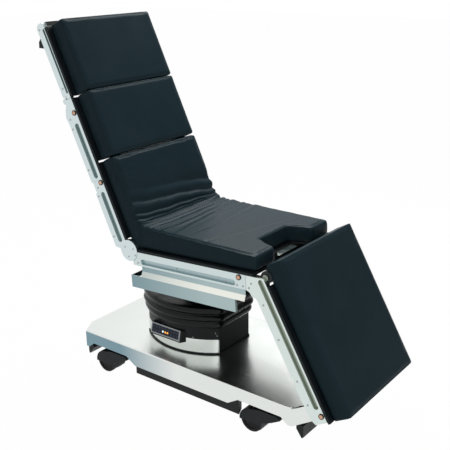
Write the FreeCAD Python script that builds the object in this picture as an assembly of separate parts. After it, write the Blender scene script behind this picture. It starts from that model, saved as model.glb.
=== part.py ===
import FreeCAD, Part
import math
import os

# Operating table on a wheeled pedestal base, in millimetres.
# X runs from the head end to the foot end, Y from the near side to the far side, Z up.
# Each section of the table top is drawn lying flat in its own frame, with its hinge at the
# zero point, X toward the foot and Z toward the patient, and is then turned to its rest angle.

Vec = FreeCAD.Vector

# Posture at rest
TOP_TILT = 3.2
BACK_ANGLE = 64.56
LEG_ANGLE = 60.05

# Table top
PAD_WIDTH = 520.0
PAD_HEIGHT = 87.0
PAD_EDGE = 7.0
PAD_GAP = 1.0
BOARD_INSET = 2.0
BOARD_LIFT = 0.4
BOARD_HEIGHT = 10.0
SIDE_GAP = 2.0
PLATE = 18.0
GROOVE_DEPTH = 12.0
PLATE_HEIGHT = 66.0
SEAT_PLATE_HEIGHT = 57.0
HEAD_PLATE_HEIGHT = 44.0

# Seat section, from the back hinge to the leg hinge
SEAT_LENGTH = 668.0
SEAT_PAD_END = 625.6
CREASE_X = 44.0
CREASE_Z = 107.0
SEAT_FRONT_HEIGHT = 74.0
CREASE_RELIEF = 12.0
CUTOUT_DEPTH = 100.0
CUTOUT_MOUTH = 280.0
CUTOUT_INNER = 190.0

# Back sections, measured from the back hinge toward the head
LOWER_BACK_LENGTH = 382.0
UPPER_BACK_LENGTH = 281.0
HEAD_LENGTH = 302.0
HEAD_OVERHANG = 22.0
BACK_CREASE_X = 83.0
PLATE_STEP = 69.0

# Leg section
LEG_PAD_START = 41.4
LEG_PAD_LENGTH = 616.0
LEG_PLATE_END = 563.0

# Hinges, buttons and fits
KNUCKLE_RADIUS = 45.0
HINGE_CLEARANCE = 1.5
BACK_SHAFT_RADIUS = 12.0
LEG_PIN_RADIUS = 12.0
HEAD_PIN_RADIUS = 6.0
BEARING_WALL = 12.0
RUNNING = 0.05
BUTTON_RADIUS = 10.9
BUTTON_PROUD = 3.0
BUTTON_TRAVEL = 3.0
BUTTON_CLEARANCE = 0.5
BUTTON_DROP = 13.0
PRONG_RADIUS = 5.5
PRONG_LENGTH = 80.0
TUBE_WALL = 3.0

# Where the back hinge stands above the floor, with the column at its lowest
BACK_HINGE_X = -249.6
BACK_HINGE_Z = 650.0

# Base
BASE_LENGTH = 1184.0
BASE_WIDTH = 560.0
BASE_TOP = 202.0
BASE_SHEET = 3.0
CORNER_X = 45.0
CORNER_Y = 78.0
APRON_LOW = 119.0
APRON_ARCH = 150.0
APRON_END = 126.0
APRON_END_REACH = 62.0
CHASSIS_BOTTOM = 81.0
CHASSIS_BEAM = 40.0
CHASSIS_SIDE_GAP = 5.0
CHASSIS_TOP = 197.0
CHASSIS_ARM_BOTTOM = 157.0
CHASSIS_PLATE_TOP = 140.0
CHASSIS_PLATE_BOTTOM = 124.0

# Casters
CASTER_END_INSET = 188.0
CASTER_SIDE_INSET = 75.0
CASTER_TRAIL = 70.0
WHEEL_RADIUS = 50.0
WHEEL_WIDTH = 24.0
CASTER_TOP = 113.0
HOOD_WIDTH = 76.0
HOOD_SKIN = 3.0
HOOD_WEB = 8.0
HOOD_EDGE = 44.0
STEM_RADIUS = 10.0
AXLE_RADIUS = 6.0

# Brake pedals
PEDAL_END_INSET = 36.0
PEDAL_SHAFT_Z = 106.0
PEDAL_SHAFT_RADIUS = 7.0
PEDAL_WIDTH = 102.0
PEDAL_SIDE_INSET = 38.0
PEDAL_REACH = 22.0
PEDAL_DROP = 42.0

# Column
COLUMN_X = -121.0
COLUMN_LENGTH = 394.0
COLUMN_END_WIDTH = 210.0
COLUMN_WIDTH = 360.0
GASKET_HEIGHT = 6.0
COVER_TOP = 270.0
COLLAR_TOP = 325.0
COVER_SHEET = 3.0
OUTER_TUBE_X = 200.0
OUTER_TUBE_Y = 150.0
OUTER_TUBE_WALL = 8.0
OUTER_TUBE_TOP = 435.0
OUTER_TUBE_BOTTOM = 86.0
TUBE_CLEARANCE = 0.5
INNER_TUBE_BOTTOM = 96.0
HEAD_PLATE_BOTTOM = 447.0
HEAD_PLATE = 12.0
HEAD_PLATE_X = 210.0
HEAD_PLATE_Y = 170.0
BELLOWS_TOP = 446.7
PLEAT_TOP = 424.0
PLEAT_BULGES = (20.0, 28.0, 25.0)
PLEAT_DEPTH = 13.0
PLEAT_NECK = 0.2
BELLOWS_SKIN = 4.0
BELLOWS_THROAT = 57.0
RAM_RADIUS = 30.0
ROD_RADIUS = 18.0

# Tilting head
LATERAL_Z = 488.0
TREND_Z = 515.0
TRUNNION_RADIUS = 13.0
TRUNNION_BODY_RADIUS = 24.0
LUG_THICKNESS = 24.0
LUG_SPACING = 132.0
TRAY_WIDTH = 450.0
TRAY_SHEET = 2.5
TRAY_TOP = 133.0
TRAY_BOTTOM = 187.0
TRAY_END_BOTTOM = 155.0
TRAY_RIM = 12.0
TRAY_HEAD_X = -55.0
TRAY_FOOT_X = 492.0
RAIL_Y = 150.0
RAIL_WIDTH = 30.0
RAIL_TOP = 86.0
RAIL_HEIGHT = 18.0
RAIL_START = 40.0
RAIL_END = 500.0
SHOE_CLEARANCE = 0.3
SHOE_LENGTH = 60.0
SHOE_WALL = 12.0
SHOE_DROP = 16.0
SKIRT_WIDTH = 471.0
SKIRT_BOTTOM = 123.0
SKIRT_HEAD_X = 2.0
SKIRT_FOOT_X = 552.0

# Control panel
PANEL_X = -146.5
PANEL_LENGTH = 159.0
PANEL_HEIGHT = 46.0
PANEL_BOTTOM = 256.0
PANEL_FACE_Y = -197.0
PANEL_LEAN = 12.5
PANEL_RIM = 5.0
PANEL_THICKNESS = 3.0
PANEL_SHOULDER = 30.0
HOUSING_FOOT = 6.0

# Sizes that follow from the ones above
HALF_PAD = PAD_WIDTH / 2
PLATE_IN = HALF_PAD + SIDE_GAP
PLATE_OUT = PLATE_IN + PLATE
HALF_BOARD = PLATE_OUT - BOARD_INSET
BOARD_START = KNUCKLE_RADIUS + 3
BACK_LENGTH = LOWER_BACK_LENGTH + UPPER_BACK_LENGTH + HEAD_LENGTH
LOWER_END = -LOWER_BACK_LENGTH
UPPER_END = -(LOWER_BACK_LENGTH + UPPER_BACK_LENGTH)
HEAD_END = -BACK_LENGTH
LOWER_PLATE_LENGTH = LOWER_BACK_LENGTH - PLATE_STEP
CASTER_X = BASE_LENGTH / 2 - CASTER_END_INSET
CASTER_Y = BASE_WIDTH / 2 - CASTER_SIDE_INSET
PEDAL_SHAFT_X = BASE_LENGTH / 2 - PEDAL_END_INSET
PEDAL_OUTER_Y = BASE_WIDTH / 2 - PEDAL_SIDE_INSET
PEDAL_INNER_Y = PEDAL_OUTER_Y - PEDAL_WIDTH
ARCH_START_X = CASTER_X - 104
ARCH_END_X = CASTER_X + 96
APRON_END_X = BASE_LENGTH / 2 - APRON_END_REACH
APRON_DEEP_X = CASTER_X - 154
CHASSIS_HEAD_X = -CASTER_X + 154
CHASSIS_FOOT_X = CASTER_X - 128
SIDES = (-1, 1)


def box(x0, x1, y0, y1, z0, z1):
    low = Vec(min(x0, x1), min(y0, y1), min(z0, z1))
    return Part.makeBox(abs(x1 - x0), abs(y1 - y0), abs(z1 - z0), low)


def rod_y(x, z, radius, y0, y1):
    return Part.makeCylinder(radius, abs(y1 - y0), Vec(x, min(y0, y1), z), Vec(0, 1, 0))


def rod_x(y, z, radius, x0, x1):
    return Part.makeCylinder(radius, abs(x1 - x0), Vec(min(x0, x1), y, z), Vec(1, 0, 0))


def rod_z(x, y, radius, z0, z1):
    return Part.makeCylinder(radius, abs(z1 - z0), Vec(x, y, min(z0, z1)))


def slab_y(points, y0, y1):
    """A plate with its outline in X and Z, from y0 to y1."""
    corners = [Vec(x, min(y0, y1), z) for x, z in points]
    face = Part.Face(Part.makePolygon(corners + corners[:1]))
    return face.extrude(Vec(0, abs(y1 - y0), 0))


def slab_x(points, x0, x1):
    """A profile with its outline in Y and Z, from x0 to x1."""
    corners = [Vec(min(x0, x1), y, z) for y, z in points]
    face = Part.Face(Part.makePolygon(corners + corners[:1]))
    return face.extrude(Vec(abs(x1 - x0), 0, 0))


def slab_z(points, z0, z1):
    """A block with its outline in X and Y, from z0 to z1."""
    corners = [Vec(x, y, min(z0, z1)) for x, y in points]
    face = Part.Face(Part.makePolygon(corners + corners[:1]))
    return face.extrude(Vec(0, 0, abs(z1 - z0)))


def fuse(*shapes):
    joined = shapes[0]
    for shape in shapes[1:]:
        joined = joined.fuse(shape)
    return joined.removeSplitter()


def both_sides(make):
    """Run make for the near side and the far side and keep the results apart."""
    return [make(side) for side in SIDES]


def group(shapes):
    return Part.makeCompound(shapes)


def round_edges(shape, radius, wanted):
    edges = [edge for edge in shape.Edges if wanted(edge)]
    return shape.makeFillet(radius, edges)


def square_tube(x0, x1, y0, y1, z0, z1, along):
    """A rectangular tube that is open at both ends of the axis named by along."""
    outer = box(x0, x1, y0, y1, z0, z1)
    wall = {"x": (0, TUBE_WALL), "y": (TUBE_WALL, 0)}[along]
    inner = box(x0 + wall[1], x1 - wall[1], y0 + wall[0], y1 - wall[0], z0 + TUBE_WALL, z1 - TUBE_WALL)
    return outer.cut(inner)


# Places of the sections

def seat_point(x, z):
    """World X and Z of a point that is given in the seat's own frame."""
    tilt = math.radians(TOP_TILT)
    along = x * math.cos(tilt) - z * math.sin(tilt)
    up = x * math.sin(tilt) + z * math.cos(tilt)
    return BACK_HINGE_X + along, BACK_HINGE_Z + up


def placed(shape, x, z, angle):
    """Turn a flat section about Y, positive for its foot end down, and set its hinge at x, z."""
    turned = shape.copy()
    turned.Placement = FreeCAD.Placement(Vec(x, 0, z), FreeCAD.Rotation(Vec(0, 1, 0), angle))
    return turned


def on_seat(shape):
    return placed(shape, BACK_HINGE_X, BACK_HINGE_Z, -TOP_TILT)


def on_back(shape):
    return placed(shape, BACK_HINGE_X, BACK_HINGE_Z, BACK_ANGLE)


def on_leg(shape):
    hinge_x, hinge_z = seat_point(SEAT_LENGTH, 0)
    return placed(shape, hinge_x, hinge_z, LEG_ANGLE)


# Side plates and release buttons

def groove(x0, x1, top, width, side):
    """The cutter for the accessory groove, a slot with rounded ends in the outer face."""
    radius = width / 2
    middle = -top - radius
    floor_y = side * (PLATE_OUT - GROOVE_DEPTH)
    face_y = side * (PLATE_OUT + 1)
    straight = box(x0 + radius, x1 - radius, floor_y, face_y, -top - width, -top)
    first = rod_y(x0 + radius, middle, radius, floor_y, face_y)
    last = rod_y(x1 - radius, middle, radius, floor_y, face_y)
    return fuse(straight, first, last)


def plate(points, side):
    return slab_y(points, side * PLATE_IN, side * PLATE_OUT)


def button_bore(x, side):
    radius = BUTTON_RADIUS + RUNNING
    return rod_y(x, -BUTTON_DROP, radius, side * (PLATE_IN - 1), side * (PLATE_OUT + 1))


def release_button(x, side):
    """Domed push button of a section lock, 3 mm proud of the side plate."""
    inner_y = side * (PLATE_IN + BUTTON_TRAVEL + BUTTON_CLEARANCE)
    shoulder_y = side * (PLATE_OUT + BUTTON_PROUD - 1.5)
    crown_y = side * (PLATE_OUT + BUTTON_PROUD)
    body = rod_y(x, -BUTTON_DROP, BUTTON_RADIUS, inner_y, shoulder_y)
    crown = Part.makeCone(BUTTON_RADIUS, BUTTON_RADIUS - 2, 1.5,
                          Vec(x, shoulder_y, -BUTTON_DROP), Vec(0, side, 0))
    spring_pocket = rod_y(x, -BUTTON_DROP, BUTTON_RADIUS - 4, inner_y, side * (PLATE_IN + PLATE / 2 + 2))
    return fuse(body, crown).cut(spring_pocket)


SEAT_BUTTON_X = SEAT_LENGTH - 111
LOWER_BUTTON_X = 13 - LOWER_PLATE_LENGTH
UPPER_BUTTON_X = UPPER_END + 61
LEG_BUTTON_X = LEG_PLATE_END - 27


# Seat section

SEAT_PLATE_START = 20.0
SEAT_PLATE_END = SEAT_LENGTH - 80
SEAT_GROOVE_TOP = 27.0
SEAT_GROOVE_WIDTH = 23.0
FOOT_TUBE_END = SEAT_LENGTH - 128
FOOT_TUBE_WIDTH = 40.0
SEAT_TUBES = ((110.0, 160.0), (330.0, 380.0), (FOOT_TUBE_END - FOOT_TUBE_WIDTH, FOOT_TUBE_END))
SPINE_WIDTH = 120.0
SEAT_TUBE_HEIGHT = 50.0
SHOE_STARTS = (SEAT_TUBES[0][0] - 5, SEAT_TUBES[1][0] - 5)
LUG_WIDTH = 22.0
LUG_GAP = 0.5


def seat_side_plate(side):
    points = [(SEAT_PLATE_START, 0), (SEAT_PLATE_END, 0),
              (SEAT_PLATE_END, -SEAT_PLATE_HEIGHT), (SEAT_PLATE_START, -SEAT_PLATE_HEIGHT)]
    body = plate(points, side)
    knuckle_space = rod_y(0, 0, KNUCKLE_RADIUS + HINGE_CLEARANCE,
                          side * (PLATE_IN - 1), side * (PLATE_OUT + 1))
    slot = groove(62, SEAT_PLATE_END - 48, SEAT_GROOVE_TOP, SEAT_GROOVE_WIDTH, side)
    return body.cut(knuckle_space).cut(slot).cut(button_bore(SEAT_BUTTON_X, side))


def bearing_arm(x0, x1, x_pin, pin_radius, side):
    """A seat lug that carries a hinge pin, just inside the side plate."""
    y0 = side * (PLATE_IN - LUG_GAP - LUG_WIDTH)
    y1 = side * (PLATE_IN - LUG_GAP)
    eye = rod_y(x_pin, 0, pin_radius + BEARING_WALL, y0, y1)
    arm = box(x0, x1, y0, y1, -SEAT_TUBE_HEIGHT, -6)
    bore = rod_y(x_pin, 0, pin_radius + RUNNING, y0 - side, y1 + side)
    return fuse(eye, arm).cut(bore)


def seat_cross_frame():
    tubes = [square_tube(x0, x1, -PLATE_IN, PLATE_IN, -SEAT_TUBE_HEIGHT, 0, "y")
             for x0, x1 in SEAT_TUBES]
    half = SPINE_WIDTH / 2
    spines = [square_tube(first[1], second[0], -half, half, -SEAT_TUBE_HEIGHT, 0, "x")
              for first, second in zip(SEAT_TUBES, SEAT_TUBES[1:])]
    parts = tubes + spines
    for side in SIDES:
        back = bearing_arm(0, SEAT_TUBES[0][0], 0, BACK_SHAFT_RADIUS, side)
        leg = bearing_arm(SEAT_TUBES[2][1], SEAT_LENGTH, SEAT_LENGTH, LEG_PIN_RADIUS, side)
        parts += [back, leg]
    return fuse(*parts)


def cutout(extra, z0, z1):
    """The perineal cut-out in the foot end of the seat, as a tapered block."""
    mouth = CUTOUT_MOUTH / 2 + extra
    inner = CUTOUT_INNER / 2 + extra
    start = SEAT_PAD_END - CUTOUT_DEPTH - extra
    points = [(start, -inner), (SEAT_PAD_END + 1, -mouth), (SEAT_PAD_END + 1, mouth), (start, inner)]
    return slab_z(points, z0, z1)


def seat_board():
    body = flat_board(BOARD_START, SEAT_PAD_END - 5)
    return body.cut(cutout(4, -1, BOARD_HEIGHT + 1))


def pad_edges(edge):
    box_of = edge.BoundBox
    return box_of.ZMin > BOARD_HEIGHT + 1


def seat_pad():
    points = [(20, BOARD_HEIGHT), (SEAT_PAD_END, BOARD_HEIGHT), (SEAT_PAD_END, SEAT_FRONT_HEIGHT),
              (CREASE_X + CREASE_RELIEF, CREASE_Z)]
    body = round_edges(slab_y(points, -HALF_PAD, HALF_PAD), PAD_EDGE, pad_edges)
    shaft_space = rod_y(0, 0, BACK_SHAFT_RADIUS + BEARING_WALL + 4, -HALF_PAD - 1, HALF_PAD + 1)
    return body.cut(cutout(0, 0, CREASE_Z + 10)).cut(shaft_space)


def slide_shoe(x0, side):
    """A shoe under the seat frame that runs on the top and the flanks of a slide rail."""
    half = RAIL_WIDTH / 2 + SHOE_WALL
    middle = side * RAIL_Y
    body = box(x0, x0 + SHOE_LENGTH, middle - half, middle + half, -RAIL_TOP - SHOE_DROP, -SEAT_TUBE_HEIGHT)
    gap = RAIL_WIDTH / 2 + SHOE_CLEARANCE
    slot = box(x0 - 1, x0 + SHOE_LENGTH + 1, middle - gap, middle + gap,
               -RAIL_TOP - RAIL_HEIGHT, -RAIL_TOP + SHOE_CLEARANCE)
    return body.cut(slot)


def upper_skirt(side):
    """Sheet skirt that hangs from the seat plates over the tray, with a flared lower edge."""
    face = SKIRT_WIDTH / 2
    top = SEAT_PLATE_HEIGHT
    t = TRAY_SHEET
    flare = 10.0
    profile = [(side * (PLATE_OUT - 4), -top), (side * (PLATE_OUT - 4), -top - t),
               (side * face, -top - t), (side * face, -SKIRT_BOTTOM + 22),
               (side * (face + flare), -SKIRT_BOTTOM), (side * (face + flare - t), -SKIRT_BOTTOM - 1),
               (side * (face - t), -SKIRT_BOTTOM + 22), (side * (face - t), -top)]
    return slab_x(profile, SKIRT_HEAD_X + SEAT_PLATE_START, SKIRT_FOOT_X)


def seat_parts():
    shoes = [slide_shoe(x0, side) for x0 in SHOE_STARTS for side in SIDES]
    return {
        "seat_side_plates": group(both_sides(seat_side_plate)),
        "seat_cross_frame": seat_cross_frame(),
        "slide_shoes": group(shoes),
        "upper_skirts": group(both_sides(upper_skirt)),
        "seat_board": seat_board(),
        "seat_pad": seat_pad(),
        "seat_button_near": release_button(SEAT_BUTTON_X, -1),
        "seat_button_far": release_button(SEAT_BUTTON_X, 1),
    }


# Back sections

BACK_GROOVE_TOP = 14.0
BACK_GROOVE_WIDTH = 24.0
PLATE_BREAK_GAP = 0.6
BACK_TUBE_HEIGHT = 40.0
SOCKET_TUBE_START = LOWER_END + 152
SOCKET_TUBE_WIDTH = 30.0
LOWER_BACK_TUBES = ((-100.0, -60.0), (SOCKET_TUBE_START, SOCKET_TUBE_START + SOCKET_TUBE_WIDTH))
UPPER_BACK_TUBES = ((LOWER_END - 38, LOWER_END - 8), (UPPER_END + 23, UPPER_END + 53))
UPPER_TUBE_HEIGHT = 26.0


def lower_back_plate(side):
    """Side plate with the round hinge knuckle at its foot end and prong sockets at its head end."""
    reach = -LOWER_PLATE_LENGTH
    points = [(0, 0), (-20, 0), (reach, 0), (reach, -PLATE_HEIGHT + 8), (reach + 45, -PLATE_HEIGHT + 8),
              (reach + 51, -PLATE_HEIGHT), (-34, -PLATE_HEIGHT), (-20, -KNUCKLE_RADIUS + 2),
              (0, -KNUCKLE_RADIUS + 2)]
    body = plate(points, side)
    knuckle = rod_y(0, 0, KNUCKLE_RADIUS, side * PLATE_IN, side * PLATE_OUT)
    body = fuse(body, knuckle)
    slot = groove(reach + 51, -44, BACK_GROOVE_TOP, BACK_GROOVE_WIDTH, side)
    socket = rod_x(side * (PLATE_IN + PLATE / 2), -PLATE_HEIGHT + 16, PRONG_RADIUS + RUNNING,
                   reach - 1, reach + PRONG_LENGTH + 2)
    return body.cut(slot).cut(button_bore(LOWER_BUTTON_X, side)).cut(socket)


def back_hinge_shaft():
    return rod_y(0, 0, BACK_SHAFT_RADIUS, -PLATE_IN, PLATE_IN)


def welded_frame(side_plate, x_spans, height):
    """Two side plates with square tubes welded between them."""
    tubes = [square_tube(x0, x1, -PLATE_IN, PLATE_IN, -height, 0, "y") for x0, x1 in x_spans]
    return fuse(side_plate(-1), side_plate(1), *tubes)


def flat_board(x0, x1):
    """Board on the cross tubes, whose side edges pass just above the side plates."""
    core = box(x0, x1, 1 - PLATE_IN, PLATE_IN - 1, 0, BOARD_HEIGHT)
    wide = box(x0, x1, -HALF_BOARD, HALF_BOARD, BOARD_LIFT, BOARD_HEIGHT)
    return fuse(core, wide)


def flat_pad(x0, x1):
    body = box(x0, x1, -HALF_PAD, HALF_PAD, BOARD_HEIGHT, PAD_HEIGHT)
    return round_edges(body, PAD_EDGE, pad_edges)


def lower_back_pad():
    points = [(-20, BOARD_HEIGHT), (-BACK_CREASE_X - CREASE_RELIEF, PAD_HEIGHT),
              (LOWER_END + PAD_GAP, PAD_HEIGHT), (LOWER_END + PAD_GAP, BOARD_HEIGHT)]
    body = round_edges(slab_y(points, -HALF_PAD, HALF_PAD), PAD_EDGE, pad_edges)
    shaft_space = rod_y(0, 0, BACK_SHAFT_RADIUS + BEARING_WALL + 4, -HALF_PAD - 1, HALF_PAD + 1)
    return body.cut(shaft_space)


def lower_back_parts():
    return {
        "lower_back_frame": welded_frame(lower_back_plate, LOWER_BACK_TUBES, BACK_TUBE_HEIGHT),
        "back_hinge_shaft": back_hinge_shaft(),
        "lower_back_board": flat_board(LOWER_END + 4, -BOARD_START),
        "lower_back_pad": lower_back_pad(),
        "lower_back_button_near": release_button(LOWER_BUTTON_X, -1),
        "lower_back_button_far": release_button(LOWER_BUTTON_X, 1),
    }


HEAD_HINGE_X = UPPER_END + 3
HEAD_HINGE_Z = -40.0
HEAD_KNUCKLE_RADIUS = 13.0


def upper_back_plate(side):
    foot = -LOWER_PLATE_LENGTH - PLATE_BREAK_GAP
    head = UPPER_END
    points = [(foot, 0), (head, 0), (head, -27), (head + 16, -41), (head + 36, -58),
              (head + 63, -PLATE_HEIGHT - 4), (head + 93, -PLATE_HEIGHT), (foot, -PLATE_HEIGHT)]
    body = plate(points, side)
    knuckle = rod_y(HEAD_HINGE_X, HEAD_HINGE_Z, HEAD_KNUCKLE_RADIUS, side * PLATE_IN, side * PLATE_OUT)
    slot = groove(head + 103, LOWER_END + 60, BACK_GROOVE_TOP, BACK_GROOVE_WIDTH, side)
    body = fuse(body, knuckle).cut(slot).cut(button_bore(UPPER_BUTTON_X, side))
    pin_hole = rod_y(HEAD_HINGE_X, HEAD_HINGE_Z, HEAD_PIN_RADIUS + RUNNING,
                     side * (PLATE_IN - 1), side * (PLATE_OUT + 1))
    return body.cut(pin_hole)


def back_prong(side):
    """Round prong that plugs the upper back section into the lower one."""
    foot = -LOWER_PLATE_LENGTH - PLATE_BREAK_GAP
    return rod_x(side * (PLATE_IN + PLATE / 2), -PLATE_HEIGHT + 16, PRONG_RADIUS,
                 foot, foot + PRONG_LENGTH)


def upper_back_parts():
    return {
        "upper_back_frame": welded_frame(upper_back_plate, UPPER_BACK_TUBES, UPPER_TUBE_HEIGHT),
        "upper_back_prongs": group(both_sides(back_prong)),
        "upper_back_board": flat_board(UPPER_END + 4, LOWER_END - 4),
        "upper_back_pad": flat_pad(UPPER_END + PAD_GAP, LOWER_END - PAD_GAP),
        "upper_back_button_near": release_button(UPPER_BUTTON_X, -1),
        "upper_back_button_far": release_button(UPPER_BUTTON_X, 1),
    }


LEVER_X = HEAD_END + 40
LEVER_Z = -26.0
LEVER_PIN_RADIUS = 5.0


def head_frame():
    """U-shaped frame: two grooved arms, the bar across the top end and a cross tube."""
    top = HEAD_END - HEAD_OVERHANG
    foot = UPPER_END - PAD_GAP
    arms = []
    for side in SIDES:
        points = [(foot, 0), (top + 8, 0), (top, -8), (top, -HEAD_PLATE_HEIGHT + 12),
                  (top + 12, -HEAD_PLATE_HEIGHT), (foot - 14, -HEAD_PLATE_HEIGHT), (foot - 14, -24),
                  (foot, -24)]
        body = plate(points, side).cut(groove(top + 26, foot - 20, 3, 11, side))
        lever_hole = rod_y(LEVER_X, LEVER_Z, LEVER_PIN_RADIUS + RUNNING,
                           side * (PLATE_IN - 1), side * (PLATE_OUT - 4))
        if side < 0:
            body = body.cut(lever_hole)
        arms.append(body)
    bar = box(top, top + 18, -PLATE_IN, PLATE_IN, -34, 0)
    tube = square_tube(HEAD_HINGE_X - 70, HEAD_HINGE_X - 40, -PLATE_IN, PLATE_IN, -BACK_TUBE_HEIGHT, 0, "y")
    return fuse(arms[0], arms[1], bar, tube, head_hinge_arm(-1), head_hinge_arm(1))


def head_hinge_arm(side):
    """Arm inside the side plates that carries the head section on its hinge pin."""
    y0 = side * (PLATE_IN - LUG_GAP - 14)
    y1 = side * (PLATE_IN - LUG_GAP)
    eye = rod_y(HEAD_HINGE_X, HEAD_HINGE_Z, HEAD_KNUCKLE_RADIUS, y0, y1)
    low = HEAD_HINGE_Z - HEAD_KNUCKLE_RADIUS
    high = HEAD_HINGE_Z + HEAD_KNUCKLE_RADIUS
    tube_x = HEAD_HINGE_X - 40
    outline = [(HEAD_HINGE_X, low), (HEAD_HINGE_X, high), (tube_x, -4), (tube_x, -BACK_TUBE_HEIGHT)]
    arm = slab_y(outline, y0, y1)
    pin = rod_y(HEAD_HINGE_X, HEAD_HINGE_Z, HEAD_PIN_RADIUS, y1, side * PLATE_OUT)
    return fuse(eye, arm, pin)


def head_lever():
    """Black release lever behind the near arm of the head section."""
    y1 = -(PLATE_IN - LUG_GAP)
    y0 = y1 + 11
    pin = rod_y(LEVER_X, LEVER_Z, LEVER_PIN_RADIUS, y1, -(PLATE_OUT - 4.5))
    hub = rod_y(LEVER_X, LEVER_Z, 11, y0, y1)
    outline = [(-11, 0), (-20, -20), (-15, -42), (-7, -56), (13, -67), (30, -34), (28, -20), (11, 0)]
    points = [(LEVER_X + x, LEVER_Z + z) for x, z in outline]
    handle = slab_y(points, y0, y1)
    return fuse(hub, handle, pin)


def head_parts():
    return {
        "head_frame": head_frame(),
        "head_board": flat_board(HEAD_END + 3, UPPER_END - 4),
        "head_pad": flat_pad(HEAD_END, UPPER_END - PAD_GAP),
        "head_release_lever": head_lever(),
    }


# Leg section

LEG_GROOVE_TOP = 8.0
LEG_GROOVE_WIDTH = 22.0
LEG_PLATE_HEIGHT = 68.0
LEG_TUBES = ((60.0, 100.0), (300.0, 330.0), (LEG_PLATE_END - 63, LEG_PLATE_END - 23))


def leg_shoulder_points():
    """Corners of the shoulder that butts against the seat plate, worked out in the leg's frame."""
    angle = math.radians(TOP_TILT + LEG_ANGLE)
    gap = 1.0

    def from_seat(x, z):
        dx = x - SEAT_LENGTH
        return (dx * math.cos(angle) - z * math.sin(angle), dx * math.sin(angle) + z * math.cos(angle))

    upper = from_seat(SEAT_PLATE_END + gap, 0)
    lower = from_seat(SEAT_PLATE_END + gap, -SEAT_PLATE_HEIGHT)
    return upper, lower


def leg_plate(side):
    upper, lower = leg_shoulder_points()
    points = [(0, 0), upper, lower, (28, -86), (44, -84), (58, -LEG_PLATE_HEIGHT - 2),
              (66, -LEG_PLATE_HEIGHT), (LEG_PLATE_END - 28, -LEG_PLATE_HEIGHT),
              (LEG_PLATE_END, -LEG_PLATE_HEIGHT + 14), (LEG_PLATE_END, 0)]
    body = plate(points, side)
    slot = groove(-2, LEG_PLATE_END - 55, LEG_GROOVE_TOP, LEG_GROOVE_WIDTH, side)
    socket = rod_x(side * (PLATE_IN + PLATE / 2), -PLATE_HEIGHT + 16, PRONG_RADIUS + RUNNING,
                   LEG_PLATE_END - PRONG_LENGTH, LEG_PLATE_END + 1)
    body = body.cut(slot).cut(button_bore(LEG_BUTTON_X, side)).cut(socket)
    pin = rod_y(0, 0, LEG_PIN_RADIUS, side * (PLATE_IN - LUG_GAP - LUG_WIDTH),
                side * (PLATE_OUT - GROOVE_DEPTH))
    return fuse(body, pin)


def leg_board():
    return flat_board(32, LEG_PAD_LENGTH - LEG_PAD_START - 4)


def leg_pad():
    body = flat_pad(-LEG_PAD_START, LEG_PAD_LENGTH - LEG_PAD_START)
    pin_space = rod_y(0, 0, LEG_PIN_RADIUS + BEARING_WALL + 2, -HALF_PAD - 1, HALF_PAD + 1)
    return body.cut(pin_space)


def leg_parts():
    return {
        "leg_frame": welded_frame(leg_plate, LEG_TUBES, BACK_TUBE_HEIGHT),
        "leg_board": leg_board(),
        "leg_pad": leg_pad(),
        "leg_button_near": release_button(LEG_BUTTON_X, -1),
        "leg_button_far": release_button(LEG_BUTTON_X, 1),
    }


# Tilting head: everything in the seat's frame, so that it lies parallel to the seat

def in_seat_frame(x, z):
    """Seat-frame place of a world point."""
    tilt = math.radians(TOP_TILT)
    dx = x - BACK_HINGE_X
    dz = z - BACK_HINGE_Z
    return dx * math.cos(tilt) + dz * math.sin(tilt), -dx * math.sin(tilt) + dz * math.cos(tilt)


def lower_tray():
    """Open stainless trough round the tilt head, with a shallow wall at the head end."""
    half = TRAY_WIDTH / 2
    t = TRAY_SHEET
    parts = []
    for side in SIDES:
        parts.append(box(TRAY_HEAD_X, TRAY_FOOT_X, side * (half - t), side * half, -TRAY_BOTTOM, -TRAY_TOP))
        parts.append(box(TRAY_HEAD_X, TRAY_FOOT_X, side * (half - TRAY_RIM), side * half,
                         -TRAY_BOTTOM, -TRAY_BOTTOM + t))
        parts.append(box(TRAY_FOOT_X - t, TRAY_FOOT_X, side * (half - TRAY_RIM), side * half,
                         -TRAY_BOTTOM, -TRAY_TOP))
    parts.append(box(TRAY_HEAD_X, TRAY_HEAD_X + t, -half, half, -TRAY_END_BOTTOM, -TRAY_TOP))
    return fuse(*parts)


CHEEK_IN = 57.0
CHEEK_OUT = 75.0
CHEEK_HALF_LENGTH = 28.0
ARM_HALF_LENGTH = 20.0
ARM_TOP = -138.0
ARM_HEIGHT = 18.0
WEB_OUT = 160.0
PIN_END_GAP = 0.5


def tilt_block():
    """Machined block on the trunnion: top plate, two side cheeks and arms out to the tray."""
    x, z = in_seat_frame(COLUMN_X, TREND_Z)
    top = -RAIL_TOP - RAIL_HEIGHT
    plate_body = box(x - 59, x + 59, -RAIL_Y - 20, RAIL_Y + 20, top - 12, top)
    parts = [plate_body]
    for side in SIDES:
        cheek = fuse(box(x - CHEEK_HALF_LENGTH, x + CHEEK_HALF_LENGTH, side * CHEEK_IN, side * CHEEK_OUT,
                         z, top - 12),
                     rod_y(x, z, CHEEK_HALF_LENGTH, side * CHEEK_IN, side * CHEEK_OUT))
        arm = box(x - ARM_HALF_LENGTH, x + ARM_HALF_LENGTH, side * CHEEK_OUT,
                  side * (TRAY_WIDTH / 2 - TRAY_SHEET), ARM_TOP - ARM_HEIGHT, ARM_TOP)
        web = box(x - ARM_HALF_LENGTH, x + ARM_HALF_LENGTH, side * CHEEK_OUT, side * WEB_OUT,
                  ARM_TOP - 2, top - 12)
        parts += [fuse(cheek, arm, web)]
    bore = rod_y(x, z, TRUNNION_RADIUS + RUNNING, -CHEEK_OUT - 1, CHEEK_OUT + 1)
    return fuse(*parts).cut(bore)


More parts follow.
